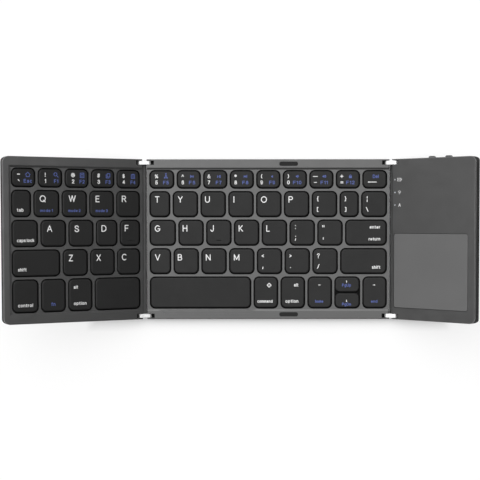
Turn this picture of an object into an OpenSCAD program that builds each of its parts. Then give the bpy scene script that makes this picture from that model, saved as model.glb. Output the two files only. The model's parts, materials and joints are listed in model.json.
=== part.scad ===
// Pocket keyboard that folds in three: two key panels and a touchpad panel on double-pivot hinges.
// Millimetres. X runs along the key rows, Y to the rear, Z up; the middle panel stands on Z = 0.
// A flap is drawn flat in its own frame, X outward from its hinge pin, and then set at its angle.

/* [Panels] */
// Depth of every panel, front to rear
panel_d = 97.1; // [90:0.5:110]
// Thickness of every panel without its feet
panel_t = 6; // [5.6:0.1:8]
// Width of the middle panel
centre_w = 146.9; // [146:0.1:170]
// Left flap, from its hinge pin to its outer edge
left_reach = 85.6; // [84:0.2:100]
// Right flap, from its hinge pin to its outer edge
right_reach = 57.4; // [56.5:0.2:75]
// Radius of a flap's outer corners, seen from above
corner_r = 4; // [2:0.5:7]
// Radius along the lower outer edges
bottom_r = 1.8; // [0.6:0.2:2.4]
// Thickness of the deck at its rim
deck_t = 1.2; // [1:0.1:1.5]
// Radius along the deck's outer edges
rim_r = 0.5; // [0.2:0.05:0.5]
// Thickness of the bottom shell's floor
floor_t = 0.8; // [0.6:0.1:1]
// Wall along a flap's outer edge
outer_wall = 1.5; // [1:0.1:2.5]
// Wall along a fold
fold_wall = 0.6; // [0.5:0.1:0.7]
// Solid beam along the rear and the front edge
beam_d = 4.55; // [4.4:0.05:5]
// How far the feet stand out below
foot_h = 0.5; // [0.3:0.1:1]

/* [Folds] */
// Tilt of the left flap as it stands
left_tilt = 28.7; // [0:0.1:60]
// Tilt of the right flap as it stands
right_tilt = 40.7; // [0:0.1:60]
// Distance between the two pins of a hinge link
pin_pitch = 4.8; // [4.7:0.1:6]
// Depth of the pins below the top face
pin_depth = 2.3; // [2.2:0.1:2.4]
// Radius of a hinge pin
pin_r = 0.5; // [0.4:0.05:0.6]
// Running clearance round a pin
pin_clear = 0.05; // [0.02:0.01:0.08]
// Radius of the knuckle round a pin
knuckle_r = 1.05; // [1:0.01:1.08]
// Radius of a link's ends
link_r = 1.7; // [1.4:0.1:1.8]
// Thickness of a link along its pins
link_t = 2.3; // [1.8:0.1:2.4]
// From the rear or front face to the link
link_inset = 0.9; // [0.6:0.05:0.95]
// Gap at each side of a link
link_gap = 0.15; // [0.1:0.01:0.2]
// From the pin to the closed end of the link's pocket
pocket_end = 3.6; // [2.4:0.1:4.2]
// How far the middle panel reaches past its pins
centre_lip = 0.7; // [0.65:0.05:0.9]
// How far the left flap reaches past its pins
left_lip = 0.1; // [0:0.05:0.4]
// How far the right flap reaches past its pins
right_lip = 1; // [0.7:0.05:1.1]
// Gap between a spine and the walls that turn over it
spine_gap = 0.25; // [0.2:0.05:0.35]
// Thickness of the spine's flange
spine_t = 0.6; // [0.5:0.05:0.8]

/* [Key field] */
// Depth of the key field below the rim
field_drop = 0.4; // [0.2:0.05:0.5]
// From the rear edge to the first row of keys
rear_rim = 5.85; // [5.3:0.05:6]
// From the front edge to the last row of keys
front_rim = 5.7; // [5.6:0.05:7]
// Height of the row of digits
digit_row = 12.7; // [12:0.1:14]
// Height of each row of letters
letter_row = 17.3; // [16.5:0.1:17.6]
// Height of the row with the space bars
space_row = 20.95; // [18:0.05:21]
// Step of the digit keys
digit_u = 16.2; // [15.5:0.1:16.4]
// Step of the letter keys
letter_u = 17; // [16.5:0.05:17.1]
// Step of the keys beside the space bars
modifier_u = 16.5; // [16:0.1:17]
// Width of the ribs between the keys
rib_w = 1.24; // [1:0.02:1.6]
// Corner radius of a key's opening
opening_r = 3.4; // [1.5:0.1:4]
// Edge of the deck's recess outside the keys
recess_margin = 0.4; // [0.2:0.05:0.5]
// How far the thumb notch reaches into the front rim
thumb_d = 2.5; // [1.5:0.1:3.4]
// From the space bar's cell to the notch at its left end
thumb_in = 6.5; // [3:0.5:8]
// How far the notch reaches past the space bar's cell at its right end
thumb_out = 1.5; // [1:0.5:3]
// Run of the notch's slanted ends
thumb_slant = 3; // [2:0.1:5]

/* [Key caps] */
// Gap round a cap in its opening
cap_gap = 0.65; // [0.4:0.05:0.8]
// Height of a cap
cap_h = 2.25; // [2:0.05:2.4]
// How far a cap's top lies below the rim
cap_sink = 0.15; // [0.1:0.05:0.3]
// Thickness of a cap's top
cap_top = 0.85; // [0.6:0.05:1]
// Thickness of a cap's side walls
cap_wall = 0.8; // [0.6:0.05:1]
// Radius along a cap's upper edge
cap_edge_r = 0.8; // [0.15:0.05:0.85]
// How far a key travels
key_travel = 1.3; // [1:0.05:1.35]
// Width of the square stem under a cap
stem_w = 2.4; // [2:0.1:3]
// Clearance of a stem in its guide
stem_clear = 0.08; // [0.05:0.01:0.15]
// Wall of a stem's guide
guide_wall = 0.8; // [0.6:0.1:1]
// From a wide cap's end to its outer stem
stem_end = 6; // [5:0.5:8]

/* [Layers under the keys] */
// Thickness of the switch membrane
membrane_t = 0.3; // [0.2:0.05:0.4]
// Height of a contact dome above the membrane
dome_h = 0.25; // [0.15:0.05:0.3]
// Radius of a contact dome
dome_r = 1.1; // [0.9:0.05:1.2]
// Thickness of the guide frame's plate
guide_plate_t = 0.7; // [0.5:0.1:0.8]
// Thickness of the guide frame's ribs between the rows
guide_rib_t = 0.8; // [0.6:0.05:1]

/* [Touchpad panel] */
// From the outer edge to the touchpad
pad_side = 5; // [3.5:0.05:8]
// Depth of the touchpad
pad_d = 44.7; // [35:0.5:46]
// From the hinge pin to the touchpad
pad_x = 0.7; // [0.7:0.05:2]
// From the front edge to the touchpad
pad_front = 7.3; // [6.5:0.1:10]
// Thickness of the touchpad
pad_t = 0.75; // [0.6:0.05:0.8]
// Gap round the touchpad
pad_gap = 0.3; // [0.2:0.05:0.5]
// Width of the ledge under the touchpad's edge
pad_ledge = 0.9; // [0.6:0.1:1.2]
// Corner radius of the touchpad
pad_r = 1.3; // [0.8:0.1:3]
// Thickness of the touchpad's sensor board
sensor_t = 0.6; // [0.4:0.1:0.7]
// Battery width, depth and thickness
battery = [42, 50, 2.7]; // [20:0.1:60]
// Thickness of the main board
board_t = 0.8; // [0.6:0.1:1]
// Depth of the main board
board_d = 25.5; // [24:0.5:27]
// Width of the charging socket outside
port_w = 8.9; // [8.5:0.1:9.2]
// Height of the charging socket outside
port_h = 3.2; // [3:0.05:3.3]
// Depth of the charging socket
port_d = 7.3; // [7:0.1:8]
// Width of the power switch's and pairing button's tips
tip_w = 4.3; // [3.5:0.1:5]
// Height of the tips
tip_h = 1.6; // [1.3:0.1:1.8]
// How far the tips stand out behind
tip_out = 1.05; // [0.7:0.05:1.5]
// Radius of the tips' outer corners
tip_r = 1; // [0.4:0.1:1.5]
// How far the power switch slides
switch_travel = 2; // [1.5:0.1:2.5]
// How far the pairing button is pushed in
button_travel = 0.4; // [0.3:0.05:0.5]
// Clearance of the tips in the rear beam
tip_clear = 0.1; // [0.06:0.01:0.2]
// Radius of an indicator's light pipe
lamp_r = 0.4; // [0.3:0.05:0.5]
// From the hinge pin to the indicators
lamp_x = 1.3; // [1.3:0.05:1.8]
// From the rear edge to the first indicator
lamp_rear = 12.5; // [10:0.05:14]
// Step of the indicators
lamp_step = 7.65; // [6:0.05:8]
// From the hinge pin to the charging socket
port_x = 13; // [10:0.5:15]
// From the outer edge to the power switch
switch_side = 31.6; // [30:0.1:34]
// From the outer edge to the pairing button
button_side = 20; // [17:0.1:21.5]

/* [Small parts] */
// From a panel's ends to its feet and screws
end_in = 13.75; // [12:0.25:16]
// From the front and rear edges to the feet
foot_in = 10.55; // [9:0.05:14]
// From the front and rear edges to the screws
screw_in = 3.3; // [3.1:0.05:3.6]
// From the magnet beside a corner to the flap's outer edge
magnet_side = 8.5; // [7:0.5:10]
// From the line where the flaps meet to the magnets
magnet_x = 10; // [8:0.5:14]
// From a magnet to the screw beside it
screw_by_magnet = 9; // [6:0.5:12]
// From a foot to the screw beside it
screw_by_foot = 6; // [0:0.5:8]
// How far the magnets lie outside the beam's inner face
magnet_in = 2.2; // [2:0.05:2.6]
// Radius of a rubber foot
foot_r = 3.5; // [2.5:0.1:4.5]
// Depth of a foot's seat in the shell
foot_seat = 0.3; // [0.2:0.05:0.4]
// Radius of a screw's shank
screw_r = 0.7; // [0.5:0.05:0.8]
// Radius of a screw's head
screw_head_r = 1.4; // [1.2:0.05:1.5]
// Length of the bumper pads in the rims
bumper_w = 11.3; // [8:0.1:14]
// Width of the bumper pads
bumper_d = 2.5; // [2:0.1:2.8]
// How far the bumper pads stand up
bumper_h = 0.1; // [0.05:0.01:0.12]
// Radius of a closure magnet
magnet_r = 1.5; // [1:0.1:1.8]
// Height of a closure magnet
magnet_h = 2; // [1:0.1:2.5]

/* [Hidden] */
$fn = 48;
eps = 0.01;
cut = 1;
hy = panel_d / 2;
pin_z = panel_t - pin_depth;
pin_x = centre_w / 2 - centre_lip;
deck_z = panel_t - deck_t;
field_z = panel_t - field_drop;
beam_y = hy - beam_d;
pocket_in = hy - link_inset - link_t - link_gap;
pocket_out = hy - link_inset + link_gap;
link_in = hy - link_inset - link_t;
membrane_z = floor_t;
guide_z = membrane_z + membrane_t;
cap_z = panel_t - cap_sink - cap_h;
ceiling_z = panel_t - cap_sink - cap_top;
stem_z = guide_z + dome_h + 0.1 + key_travel;
guide_top = ceiling_z - key_travel - 0.25;
seat_gap = 0.1;
screw_clear = 0.05;
screw_tip = 0.5;

// Key cells, from the fold outward on the left flap and from the left on the middle panel.
// The rows share the depth of the field, and the cells of a row its width, in these proportions.
field_rear = hy - rear_rim;
field_front = -hy + front_rim;
rows_h = shared([digit_row, letter_row, letter_row, letter_row, space_row], field_rear - field_front);
left_x0 = 0.5;
left_x1 = left_reach - 4.25;
centre_x0 = -centre_w / 2 + 0.75;
centre_x1 = centre_w / 2 - 0.5;
left_rows = [
    [16.4, digit_u, digit_u, digit_u, 15.85],
    [16.7, letter_u, letter_u, letter_u, 13.15],
    [14.6, 15.1, letter_u, letter_u, 17.15],
    [16.4, letter_u, letter_u, 30.45],
    [30.7, modifier_u, modifier_u, 17.15]
];
centre_rows = [
    [16.7, digit_u, digit_u, digit_u, digit_u, digit_u, digit_u, digit_u, 16.54],
    [14.2, letter_u, letter_u, letter_u, letter_u, letter_u, letter_u, 13.2, 17.24],
    [17.6, letter_u, letter_u, letter_u, letter_u, letter_u, letter_u, 27.04],
    [14.6, letter_u, letter_u, letter_u, letter_u, letter_u, letter_u, 30.04],
    [63.6, modifier_u, modifier_u, modifier_u, 17.2, 16.34]
];
arrow_row = 4;
arrow_cell = 4;
arrow_gap = 0.7;

function total(v, n) = n <= 0 ? 0 : v[n - 1] + total(v, n - 1);
function shared(v, w) = [for (c = v) c * w / total(v, len(v))];
// Cell edges lie on whole hundredths of a millimetre
function hundredth(a) = round(100 * a) / 100;
function cell_of(rows, x0, x1, r, i) = let (v = shared(rows[r], x1 - x0))
    [hundredth(x0 + total(v, i)), hundredth(field_rear - total(rows_h, r + 1)),
     hundredth(x0 + total(v, i + 1)), hundredth(field_rear - total(rows_h, r))];
function inset(c, a) = [c[0] + a, c[1] + a, c[2] - a, c[3] - a];
function left_cell(r, i) = cell_of(left_rows, left_x0, left_x1, r, i);
function centre_cell(r, i) = cell_of(centre_rows, centre_x0, centre_x1, r, i);
function cap_of(c) = inset(c, rib_w / 2 + cap_gap);
function arrow_half(k) = let (c = cap_of(centre_cell(arrow_row, arrow_cell)),
    m = (c[1] + c[3]) / 2, g = arrow_gap / 2)
    k == 0 ? [c[0], m + g, c[2], c[3]] : [c[0], c[1], c[2], m - g];
function left_caps(r) = [for (i = [0 : len(left_rows[r]) - 1]) cap_of(left_cell(r, i))];
function centre_caps(r) = [for (i = [0 : len(centre_rows[r]) - 1])
    if (r != arrow_row || i != arrow_cell) cap_of(centre_cell(r, i))];
function all_left() = [for (r = [0 : 4]) each left_caps(r)];
function all_centre() = concat([for (r = [0 : 4]) each centre_caps(r)],
    [arrow_half(0), arrow_half(1)]);
// Stems of a cap: one in the middle, and one near each end of a wide cap
function stems(c) = let (m = (c[0] + c[2]) / 2, y = (c[1] + c[3]) / 2, h = (c[2] - c[0]) / 2)
    h > 12 ? [[m - h + stem_end, y], [m, y], [m + h - stem_end, y]] : [[m, y]];

// ---- shared shapes ----
module rrect(c, r) {
    translate([c[0] + r, c[1]]) square([c[2] - c[0] - 2 * r, c[3] - c[1]]);
    translate([c[0], c[1] + r]) square([c[2] - c[0], c[3] - c[1] - 2 * r]);
    for (x = [c[0] + r, c[2] - r], y = [c[1] + r, c[3] - r]) translate([x, y]) circle(r);
}
module centred(x, y, w, d, r) { rrect([x - w / 2, y - d / 2, x + w / 2, y + d / 2], r); }
module slab(z0, z1) { translate([0, 0, z0]) linear_extrude(z1 - z0) children(); }
module along_x(x0, x1) { translate([x0, 0, 0]) rotate([90, 0, 90]) linear_extrude(x1 - x0) children(); }
module along_y(y0, y1) { translate([0, y1, 0]) rotate([90, 0, 0]) linear_extrude(y1 - y0) children(); }
module rod_y(x, z, y0, y1, r) {
    translate([x, y1, z]) rotate([90, 0, 0]) cylinder(r = r, h = y1 - y0);
}
module block(x0, x1, y0, y1, z0, z1) {
    translate([x0, y0, z0]) cube([x1 - x0, y1 - y0, z1 - z0]);
}
// Plan of a panel: its outer corners are round at the x1 end
module flap_plan(x0, x1) {
    translate([x0, -hy]) square([x1 - corner_r - x0, panel_d]);
    translate([x0, -hy + corner_r]) square([x1 - x0, panel_d - 2 * corner_r]);
    for (y = [-hy + corner_r, hy - corner_r]) translate([x1 - corner_r, y]) circle(corner_r);
}
// Cross-section of a shell with its two lower edges rounded
module tray_section(half, h) {
    translate([-half + bottom_r, 0]) square([2 * (half - bottom_r), h]);
    translate([-half, bottom_r]) square([2 * half, h - bottom_r]);
    for (s = [-1, 1]) translate([s * (half - bottom_r), bottom_r]) circle(bottom_r);
}
// Cross-section of a deck with its two upper edges rounded
module deck_section(half) {
    translate([-half + rim_r, deck_z]) square([2 * (half - rim_r), deck_t]);
    translate([-half, deck_z]) square([2 * half, deck_t - rim_r]);
    for (s = [-1, 1]) translate([s * (half - rim_r), panel_t - rim_r]) circle(rim_r);
}
// A flap's deck, rounded along its three outer edges
module flap_deck(lip, reach) {
    intersection() {
        slab(deck_z, panel_t) flap_plan(-lip, reach);
        along_x(-lip, reach) deck_section(hy);
        along_y(-hy, hy) translate([reach / 2 - corner_r, 0]) deck_section(reach / 2 + corner_r);
    }
}
// Everything below is drawn at a hinge: X = 0 is the pin and the panel lies towards +X
module link_pockets() {
    for (s = [0, 1]) mirror([0, s, 0])
        block(-knuckle_r - cut, pocket_end, pocket_in, pocket_out,
            pin_z - link_r - 0.2, panel_t + cut);
}
module knuckles() {
    for (s = [0, 1]) mirror([0, s, 0]) {
        rod_y(0, pin_z, beam_y, pocket_in, knuckle_r);
        rod_y(0, pin_z, pocket_out, hy, knuckle_r);
    }
}
module pin_bores() {
    for (s = [0, 1]) mirror([0, s, 0])
        rod_y(0, pin_z, beam_y - cut, hy - link_inset / 2 + link_gap, pin_r + pin_clear);
}
// Takes the deck's upper edge along the fold back to the round that turns about the pin
module fold_round() {
    difference() {
        block(-knuckle_r - cut, 0, -hy - cut, hy + cut, pin_z, panel_t + cut);
        rod_y(0, pin_z, -hy - 2 * cut, hy + 2 * cut, pin_depth);
    }
}
module screw_holes(at) {
    for (p = at) translate([p[0], p[1], 0]) {
        translate([0, 0, -cut]) cylinder(r = screw_r + screw_clear, h = panel_t);
        translate([0, 0, -cut]) cylinder(r = screw_head_r + screw_clear, h = cut + floor_t);
    }
}
module screws(at) {
    for (p = at) translate([p[0], p[1], 0]) {
        translate([0, 0, 0.1]) cylinder(r = screw_head_r, h = floor_t - 0.1);
        translate([0, 0, floor_t - eps]) cylinder(r = screw_r, h = deck_z + screw_tip - floor_t);
    }
}
module screw_seats(at) {
    for (p = at) translate([p[0], p[1], deck_z - cut])
        cylinder(r = screw_r + eps, h = cut + screw_tip + seat_gap);
}
module foot_seats(at) {
    for (p = at) translate([p[0], p[1], -cut]) cylinder(r = foot_r + seat_gap, h = cut + foot_seat);
}
module feet(at) {
    for (p = at) translate([p[0], p[1], -foot_h]) cylinder(r = foot_r, h = foot_h + foot_seat);
}
module magnet_wells(at) {
    for (p = at) translate([p[0], p[1], deck_z - magnet_h - 0.05])
        cylinder(r = magnet_r + 0.05, h = magnet_h + cut);
}
module magnets(at) {
    for (p = at) translate([p[0], p[1], deck_z - magnet_h - 0.05]) cylinder(r = magnet_r, h = magnet_h);
}
// A cap: straight sides, round corners and a soft upper edge, hollow below, on square stems
module cap(c) {
    z1 = cap_z + cap_h;
    opening_in = rib_w / 2 + cap_gap;
    r = opening_r - cap_gap;
    difference() {
        intersection() {
            slab(cap_z, z1) rrect(c, r);
            along_x(c[0] - cut, c[2] + cut) edge_section(c[1], c[3], cap_z - cut, z1);
            along_y(c[1] - cut, c[3] + cut) edge_section(c[0], c[2], cap_z - cut, z1);
        }
        slab(cap_z - cut, ceiling_z) rrect(inset(c, cap_wall), r - cap_wall);
    }
    for (p = stems(c))
        block(p[0] - stem_w / 2, p[0] + stem_w / 2, p[1] - stem_w / 2, p[1] + stem_w / 2,
            stem_z, ceiling_z + eps);
}
module edge_section(a, b, z0, z1) {
    translate([a + cap_edge_r, z0]) square([b - a - 2 * cap_edge_r, z1 - z0]);
    translate([a, z0]) square([b - a, z1 - z0 - cap_edge_r]);
    for (x = [a + cap_edge_r, b - cap_edge_r]) translate([x, z1 - cap_edge_r]) circle(cap_edge_r);
}
// Small bar that a finger finds on the F and J caps
module homing_bar(c) {
    m = (c[0] + c[2]) / 2;
    block(m - 1.6, m + 1.6, c[1] + 2.6, c[1] + 3, cap_z + cap_h - eps, panel_t - 0.03);
}
module caps(list) { for (c = list) cap(c); }
// Plate with a square guide for each stem, and ribs that carry the deck between the rows
module guide_frame(x0, x1, list) {
    slab(guide_z, guide_z + guide_plate_t) difference() {
        rrect([x0, -beam_y + 0.3, x1, beam_y - 0.3], 1);
        for (c = list, p = stems(c)) centred(p[0], p[1], stem_w + 2 * stem_clear,
            stem_w + 2 * stem_clear, 0.2);
    }
    slab(guide_z + guide_plate_t - eps, guide_top) for (c = list, p = stems(c)) difference() {
        centred(p[0], p[1], stem_w + 2 * (stem_clear + guide_wall),
            stem_w + 2 * (stem_clear + guide_wall), 0.6);
        centred(p[0], p[1], stem_w + 2 * stem_clear, stem_w + 2 * stem_clear, 0.2);
    }
    for (r = [1 : 4]) let (y = field_rear - total(rows_h, r))
        block(x0 + 1, x1 - 1, y - guide_rib_t / 2, y + guide_rib_t / 2,
            guide_z + guide_plate_t - eps, deck_z);
}
module membrane(x0, x1, list) {
    slab(membrane_z, membrane_z + membrane_t) rrect([x0, -beam_y + 0.3, x1, beam_y - 0.3], 1);
    slab(membrane_z + membrane_t - eps, guide_z + dome_h)
        for (c = list, p = stems(c)) translate(p) circle(dome_r);
}

// ---- placing ----
module stand() { translate([0, 0, foot_h]) children(); }
module left_link_place() {
    translate([-pin_x, 0, foot_h + pin_z]) rotate([0, left_tilt / 2, 0]) mirror([1, 0, 0]) children();
}
module right_link_place() {
    translate([pin_x, 0, foot_h + pin_z]) rotate([0, -right_tilt / 2, 0]) children();
}
module left_place() {
    translate([-pin_x - pin_pitch * cos(left_tilt / 2), 0,
               foot_h + pin_z + pin_pitch * sin(left_tilt / 2)])
        rotate([0, left_tilt, 0]) mirror([1, 0, 0]) translate([0, 0, -pin_z]) children();
}
module right_place() {
    translate([pin_x + pin_pitch * cos(right_tilt / 2), 0,
               foot_h + pin_z + pin_pitch * sin(right_tilt / 2)])
        rotate([0, -right_tilt, 0]) translate([0, 0, -pin_z]) children();
}
module both_hinges() {
    for (s = [0, 1]) mirror([s, 0, 0]) translate([-pin_x, 0, 0]) children();
}

// ---- middle panel ----
screw_y = hy - screw_in;
foot_y = hy - foot_in;
magnet_y = beam_y + magnet_in;
seam_x = (left_reach - right_reach) / 2;
end_x = centre_w / 2 - end_in;
centre_screw_at = [for (x = [-end_x, seam_x - magnet_x - screw_by_magnet, end_x],
    y = [-screw_y, screw_y]) [x, y]];
centre_foot_at = [for (x = [-end_x, end_x], y = [-foot_y, foot_y]) [x, y]];
bumper_x = seam_x - 1.6;
bumper_y = [hy - 2.75, -hy + 2.9];
centre_magnet_at = [for (x = [seam_x - magnet_x, seam_x + magnet_x], y = [-magnet_y, magnet_y]) [x, y]];
module centre_shell() {
    color("#2b2c2e") stand() difference() {
        union() {
            difference() {
                intersection() {
                    along_x(-centre_w / 2, centre_w / 2) tray_section(hy, deck_z);
                    block(-centre_w / 2, centre_w / 2, -hy, hy, 0, deck_z);
                }
                block(-centre_w / 2 + fold_wall, centre_w / 2 - fold_wall, -beam_y, beam_y,
                    floor_t, panel_t);
                both_hinges() link_pockets();
            }
            both_hinges() knuckles();
        }
        both_hinges() pin_bores();
        screw_holes(centre_screw_at);
        foot_seats(centre_foot_at);
        magnet_wells(centre_magnet_at);
    }
}
module centre_deck() {
    color("#6e6f72") stand() difference() {
        along_x(-centre_w / 2, centre_w / 2) deck_section(hy);
        slab(field_z, panel_t + cut) {
            translate([-centre_w / 2 - cut, field_front - recess_margin + rib_w / 2])
                square([centre_w + 2 * cut, field_rear - field_front + 2 * recess_margin - rib_w]);
            thumb_notch();
        }
        slab(deck_z - cut, panel_t + cut) for (r = [0 : 4], i = [0 : len(centre_rows[r]) - 1])
            rrect(inset(centre_cell(r, i), rib_w / 2), opening_r);
        both_hinges() { link_pockets(); fold_round(); }
        screw_seats(centre_screw_at);
        for (y = bumper_y) slab(panel_t - 0.4, panel_t + cut)
            centred(bumper_x, y, bumper_w + 0.1, bumper_d + 0.1, bumper_d / 2);
    }
}
// Room for the thumbs in front of the right-hand space bar
module thumb_notch() {
    c = centre_cell(4, 0);
    polygon([[c[0] + thumb_in, c[1]], [c[2] + thumb_out, c[1]],
             [c[2] + thumb_out - thumb_slant, c[1] - thumb_d],
             [c[0] + thumb_in + thumb_slant, c[1] - thumb_d]]);
}
module centre_guide_frame() {
    color("#161618") stand() guide_frame(-centre_w / 2 + fold_wall + 0.2,
        centre_w / 2 - fold_wall - 0.2, all_centre());
}
module centre_membrane() {
    color("#9fb0a8") stand() membrane(-centre_w / 2 + fold_wall + 0.2,
        centre_w / 2 - fold_wall - 0.2, all_centre());
}
module centre_feet() { color("#1a1a1a") stand() feet(centre_foot_at); }
module centre_screws() { color("#3a3a3c") stand() screws(centre_screw_at); }
module fold_bumpers() {
    color("#0c0c0c") stand() for (y = bumper_y) slab(panel_t - 0.4, panel_t + bumper_h)
        centred(bumper_x, y, bumper_w, bumper_d, bumper_d / 2 - 0.05);
}
module centre_magnets() { color("#b9bcc0") stand() magnets(centre_magnet_at); }

// ---- left flap ----
left_screw_at = [for (x = [end_in + screw_by_foot, left_reach - magnet_side - screw_by_magnet],
    y = [-screw_y, screw_y]) [x, y]];
left_foot_at = [for (x = [end_in, left_reach - end_in], y = [-foot_y, foot_y]) [x, y]];
left_magnet_at = [for (y = [-magnet_y, magnet_y]) [left_reach - magnet_side, y]];
module flap_shell(reach, lip, wall_in, feet_at, screws_at, magnets_at) {
    difference() {
        union() {
            difference() {
                intersection() {
                    slab(0, deck_z) flap_plan(-lip, reach);
                    along_x(-lip, reach) tray_section(hy, deck_z);
                    along_y(-hy, hy) translate([reach / 2 - 2 * bottom_r, 0])
                        tray_section(reach / 2 + 2 * bottom_r, deck_z);
                }
                block(wall_in, reach - outer_wall, -beam_y, beam_y, floor_t, panel_t);
                link_pockets();
            }
            knuckles();
        }
        pin_bores();
        screw_holes(screws_at);
        foot_seats(feet_at);
        magnet_wells(magnets_at);
    }
}
module left_shell() {
    color("#2b2c2e") left_place()
        flap_shell(left_reach, left_lip, fold_wall - left_lip, left_foot_at, left_screw_at,
            left_magnet_at);
}
module left_deck() {
    color("#505154") left_place() difference() {
        flap_deck(left_lip, left_reach);
        slab(field_z, panel_t + cut)
            translate([-left_lip - cut, field_front - recess_margin + rib_w / 2])
                square([left_x1 + recess_margin + left_lip + cut - rib_w / 2,
                        field_rear - field_front + 2 * recess_margin - rib_w]);
        slab(deck_z - cut, panel_t + cut) for (r = [0 : 4], i = [0 : len(left_rows[r]) - 1])
            rrect(inset(left_cell(r, i), rib_w / 2), opening_r);
        link_pockets();
        fold_round();
        screw_seats(left_screw_at);
    }
}
module left_guide_frame() {
    color("#161618") left_place()
        guide_frame(fold_wall - left_lip + 0.2, left_reach - outer_wall - 0.2, all_left());
}
module left_membrane() {
    color("#9fb0a8") left_place()
        membrane(fold_wall - left_lip + 0.2, left_reach - outer_wall - 0.2, all_left());
}
module left_feet() { color("#1a1a1a") left_place() feet(left_foot_at); }
module left_screws() { color("#3a3a3c") left_place() screws(left_screw_at); }
module left_magnets() { color("#b9bcc0") left_place() magnets(left_magnet_at); }

// ---- touchpad flap ----
right_wall_in = 0.2;
switch_x = right_reach - switch_side;
button_x = right_reach - button_side;
right_screw_at = [for (x = [(port_x + port_w / 2 + switch_x - tip_w / 2) / 2, button_x + tip_w],
    y = [-screw_y, screw_y]) [x, y]];
right_foot_at = [for (x = [end_in, right_reach - end_in], y = [-foot_y, foot_y]) [x, y]];
right_magnet_at = [for (y = [-magnet_y, magnet_y]) [right_reach - magnet_side, y]];
pad_w = right_reach - pad_side - pad_x;
pad_z = panel_t - 0.05 - pad_t;
pad_y0 = -hy + pad_front;
board_z = floor_t + 1.2;
board_y1 = beam_y - 1.5;
board_y0 = board_y1 - board_d;
board_x0 = right_wall_in + 0.6;
board_x1 = right_reach - outer_wall - 0.8;
board_post_at = [for (x = [board_x0 + 3.4, board_x1 - 4], y = [board_y0 + 2.5, board_y1 - 2.5]) [x, y]];
lamp_y = [for (i = [0 : 2]) hy - lamp_rear - i * lamp_step];
port_z = 2.7;
tip_z = 2.75;
collar_t = 0.6;
module port_outline(w, h) { centred(0, 0, w, h, h / 2 - 0.2); }
module right_shell() {
    color("#232426") right_place() {
        difference() {
            flap_shell(right_reach, right_lip, right_wall_in, right_foot_at, right_screw_at,
                right_magnet_at);
            translate([port_x, 0, port_z]) along_y(beam_y - cut, hy + cut)
                port_outline(port_w + 0.2, port_h + 0.2);
            block(switch_x - tip_w / 2 - tip_clear, switch_x + tip_w / 2 + switch_travel + tip_clear,
                beam_y - cut, hy + cut, tip_z - tip_h / 2 - tip_clear, tip_z + tip_h / 2 + tip_clear);
            block(button_x - tip_w / 2 - tip_clear, button_x + tip_w / 2 + tip_clear,
                beam_y - cut, hy + cut, tip_z - tip_h / 2 - tip_clear, tip_z + tip_h / 2 + tip_clear);
        }
        for (p = board_post_at) translate([p[0], p[1], floor_t - eps])
            cylinder(r = 2, h = board_z - floor_t + eps);
    }
}
module pad_opening(grow) {
    rrect([pad_x - grow, pad_y0 - grow, pad_x + pad_w + grow, pad_y0 + pad_d + grow], pad_r + grow);
}
module right_cover() {
    color("#535456") right_place() difference() {
        flap_deck(right_lip, right_reach);
        slab(pad_z, panel_t + cut) pad_opening(pad_gap);
        slab(deck_z - cut, panel_t + cut) pad_opening(-pad_ledge);
        for (y = lamp_y) translate([lamp_x, y, deck_z - cut])
            cylinder(r = lamp_r + 0.05, h = deck_t + 2 * cut);
        link_pockets();
        fold_round();
        screw_seats(right_screw_at);
    }
}
module touchpad() { color("#6b6c6e") right_place() slab(pad_z, pad_z + pad_t) pad_opening(0); }
module touchpad_board() {
    color("#1d5a38") right_place() slab(pad_z - sensor_t, pad_z) pad_opening(-pad_ledge - 0.3);
}
module main_board() {
    color("#1d5a38") right_place() {
        slab(board_z, board_z + board_t) difference() {
            rrect([board_x0, board_y0, board_x1, board_y1], 0.5);
            centred(port_x, board_y1, port_w + 0.4, 2 * (board_y1 - hy + port_d + 0.2), 0.2);
        }
        for (y = lamp_y) block(lamp_x - 0.6, lamp_x + 0.6, y - 0.5, y + 0.5, board_z + board_t - eps,
            board_z + board_t + 0.4);
        slab(board_z + board_t - eps, board_z + board_t + 1) {
            centred((switch_x + port_x) / 2 + 5, board_y0 + 10, 7, 7, 0.3);
            centred(button_x, board_y0 + 9, 5, 4, 0.3);
        }
        slab(board_z + board_t - eps, board_z + board_t + 1.4) {
            centred(switch_x, board_y1 - 2.2, 7, 3, 0.2);
            centred(button_x, board_y1 - 2.2, 4.6, 3, 0.2);
        }
    }
}
module battery_pack() {
    color("#c9ccd0") right_place() slab(floor_t, floor_t + battery[2])
        centred((right_wall_in + right_reach - outer_wall) / 2, (board_y0 - beam_y) / 2,
            battery[0], battery[1], 1.5);
}
module charging_port() {
    color("#c4c6c9") right_place() translate([port_x, 0, port_z]) {
        difference() {
            along_y(hy - port_d, hy - 0.2) port_outline(port_w, port_h);
            along_y(hy - port_d + 0.9, hy) port_outline(port_w - 0.6, port_h - 0.6);
        }
        along_y(hy - port_d + 0.8, hy - 1.2) centred(0, 0, port_w - 2.2, 0.7, 0.1);
    }
}
module indicator_lights() {
    color("#d8dadc") right_place() for (y = lamp_y) translate([lamp_x, y, board_z + board_t + 0.45])
        cylinder(r = lamp_r, h = panel_t - board_z - board_t - 0.45);
}
module right_feet() { color("#1a1a1a") right_place() feet(right_foot_at); }
module right_screws() { color("#3a3a3c") right_place() screws(right_screw_at); }
module right_magnets() { color("#b9bcc0") right_place() magnets(right_magnet_at); }
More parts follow.
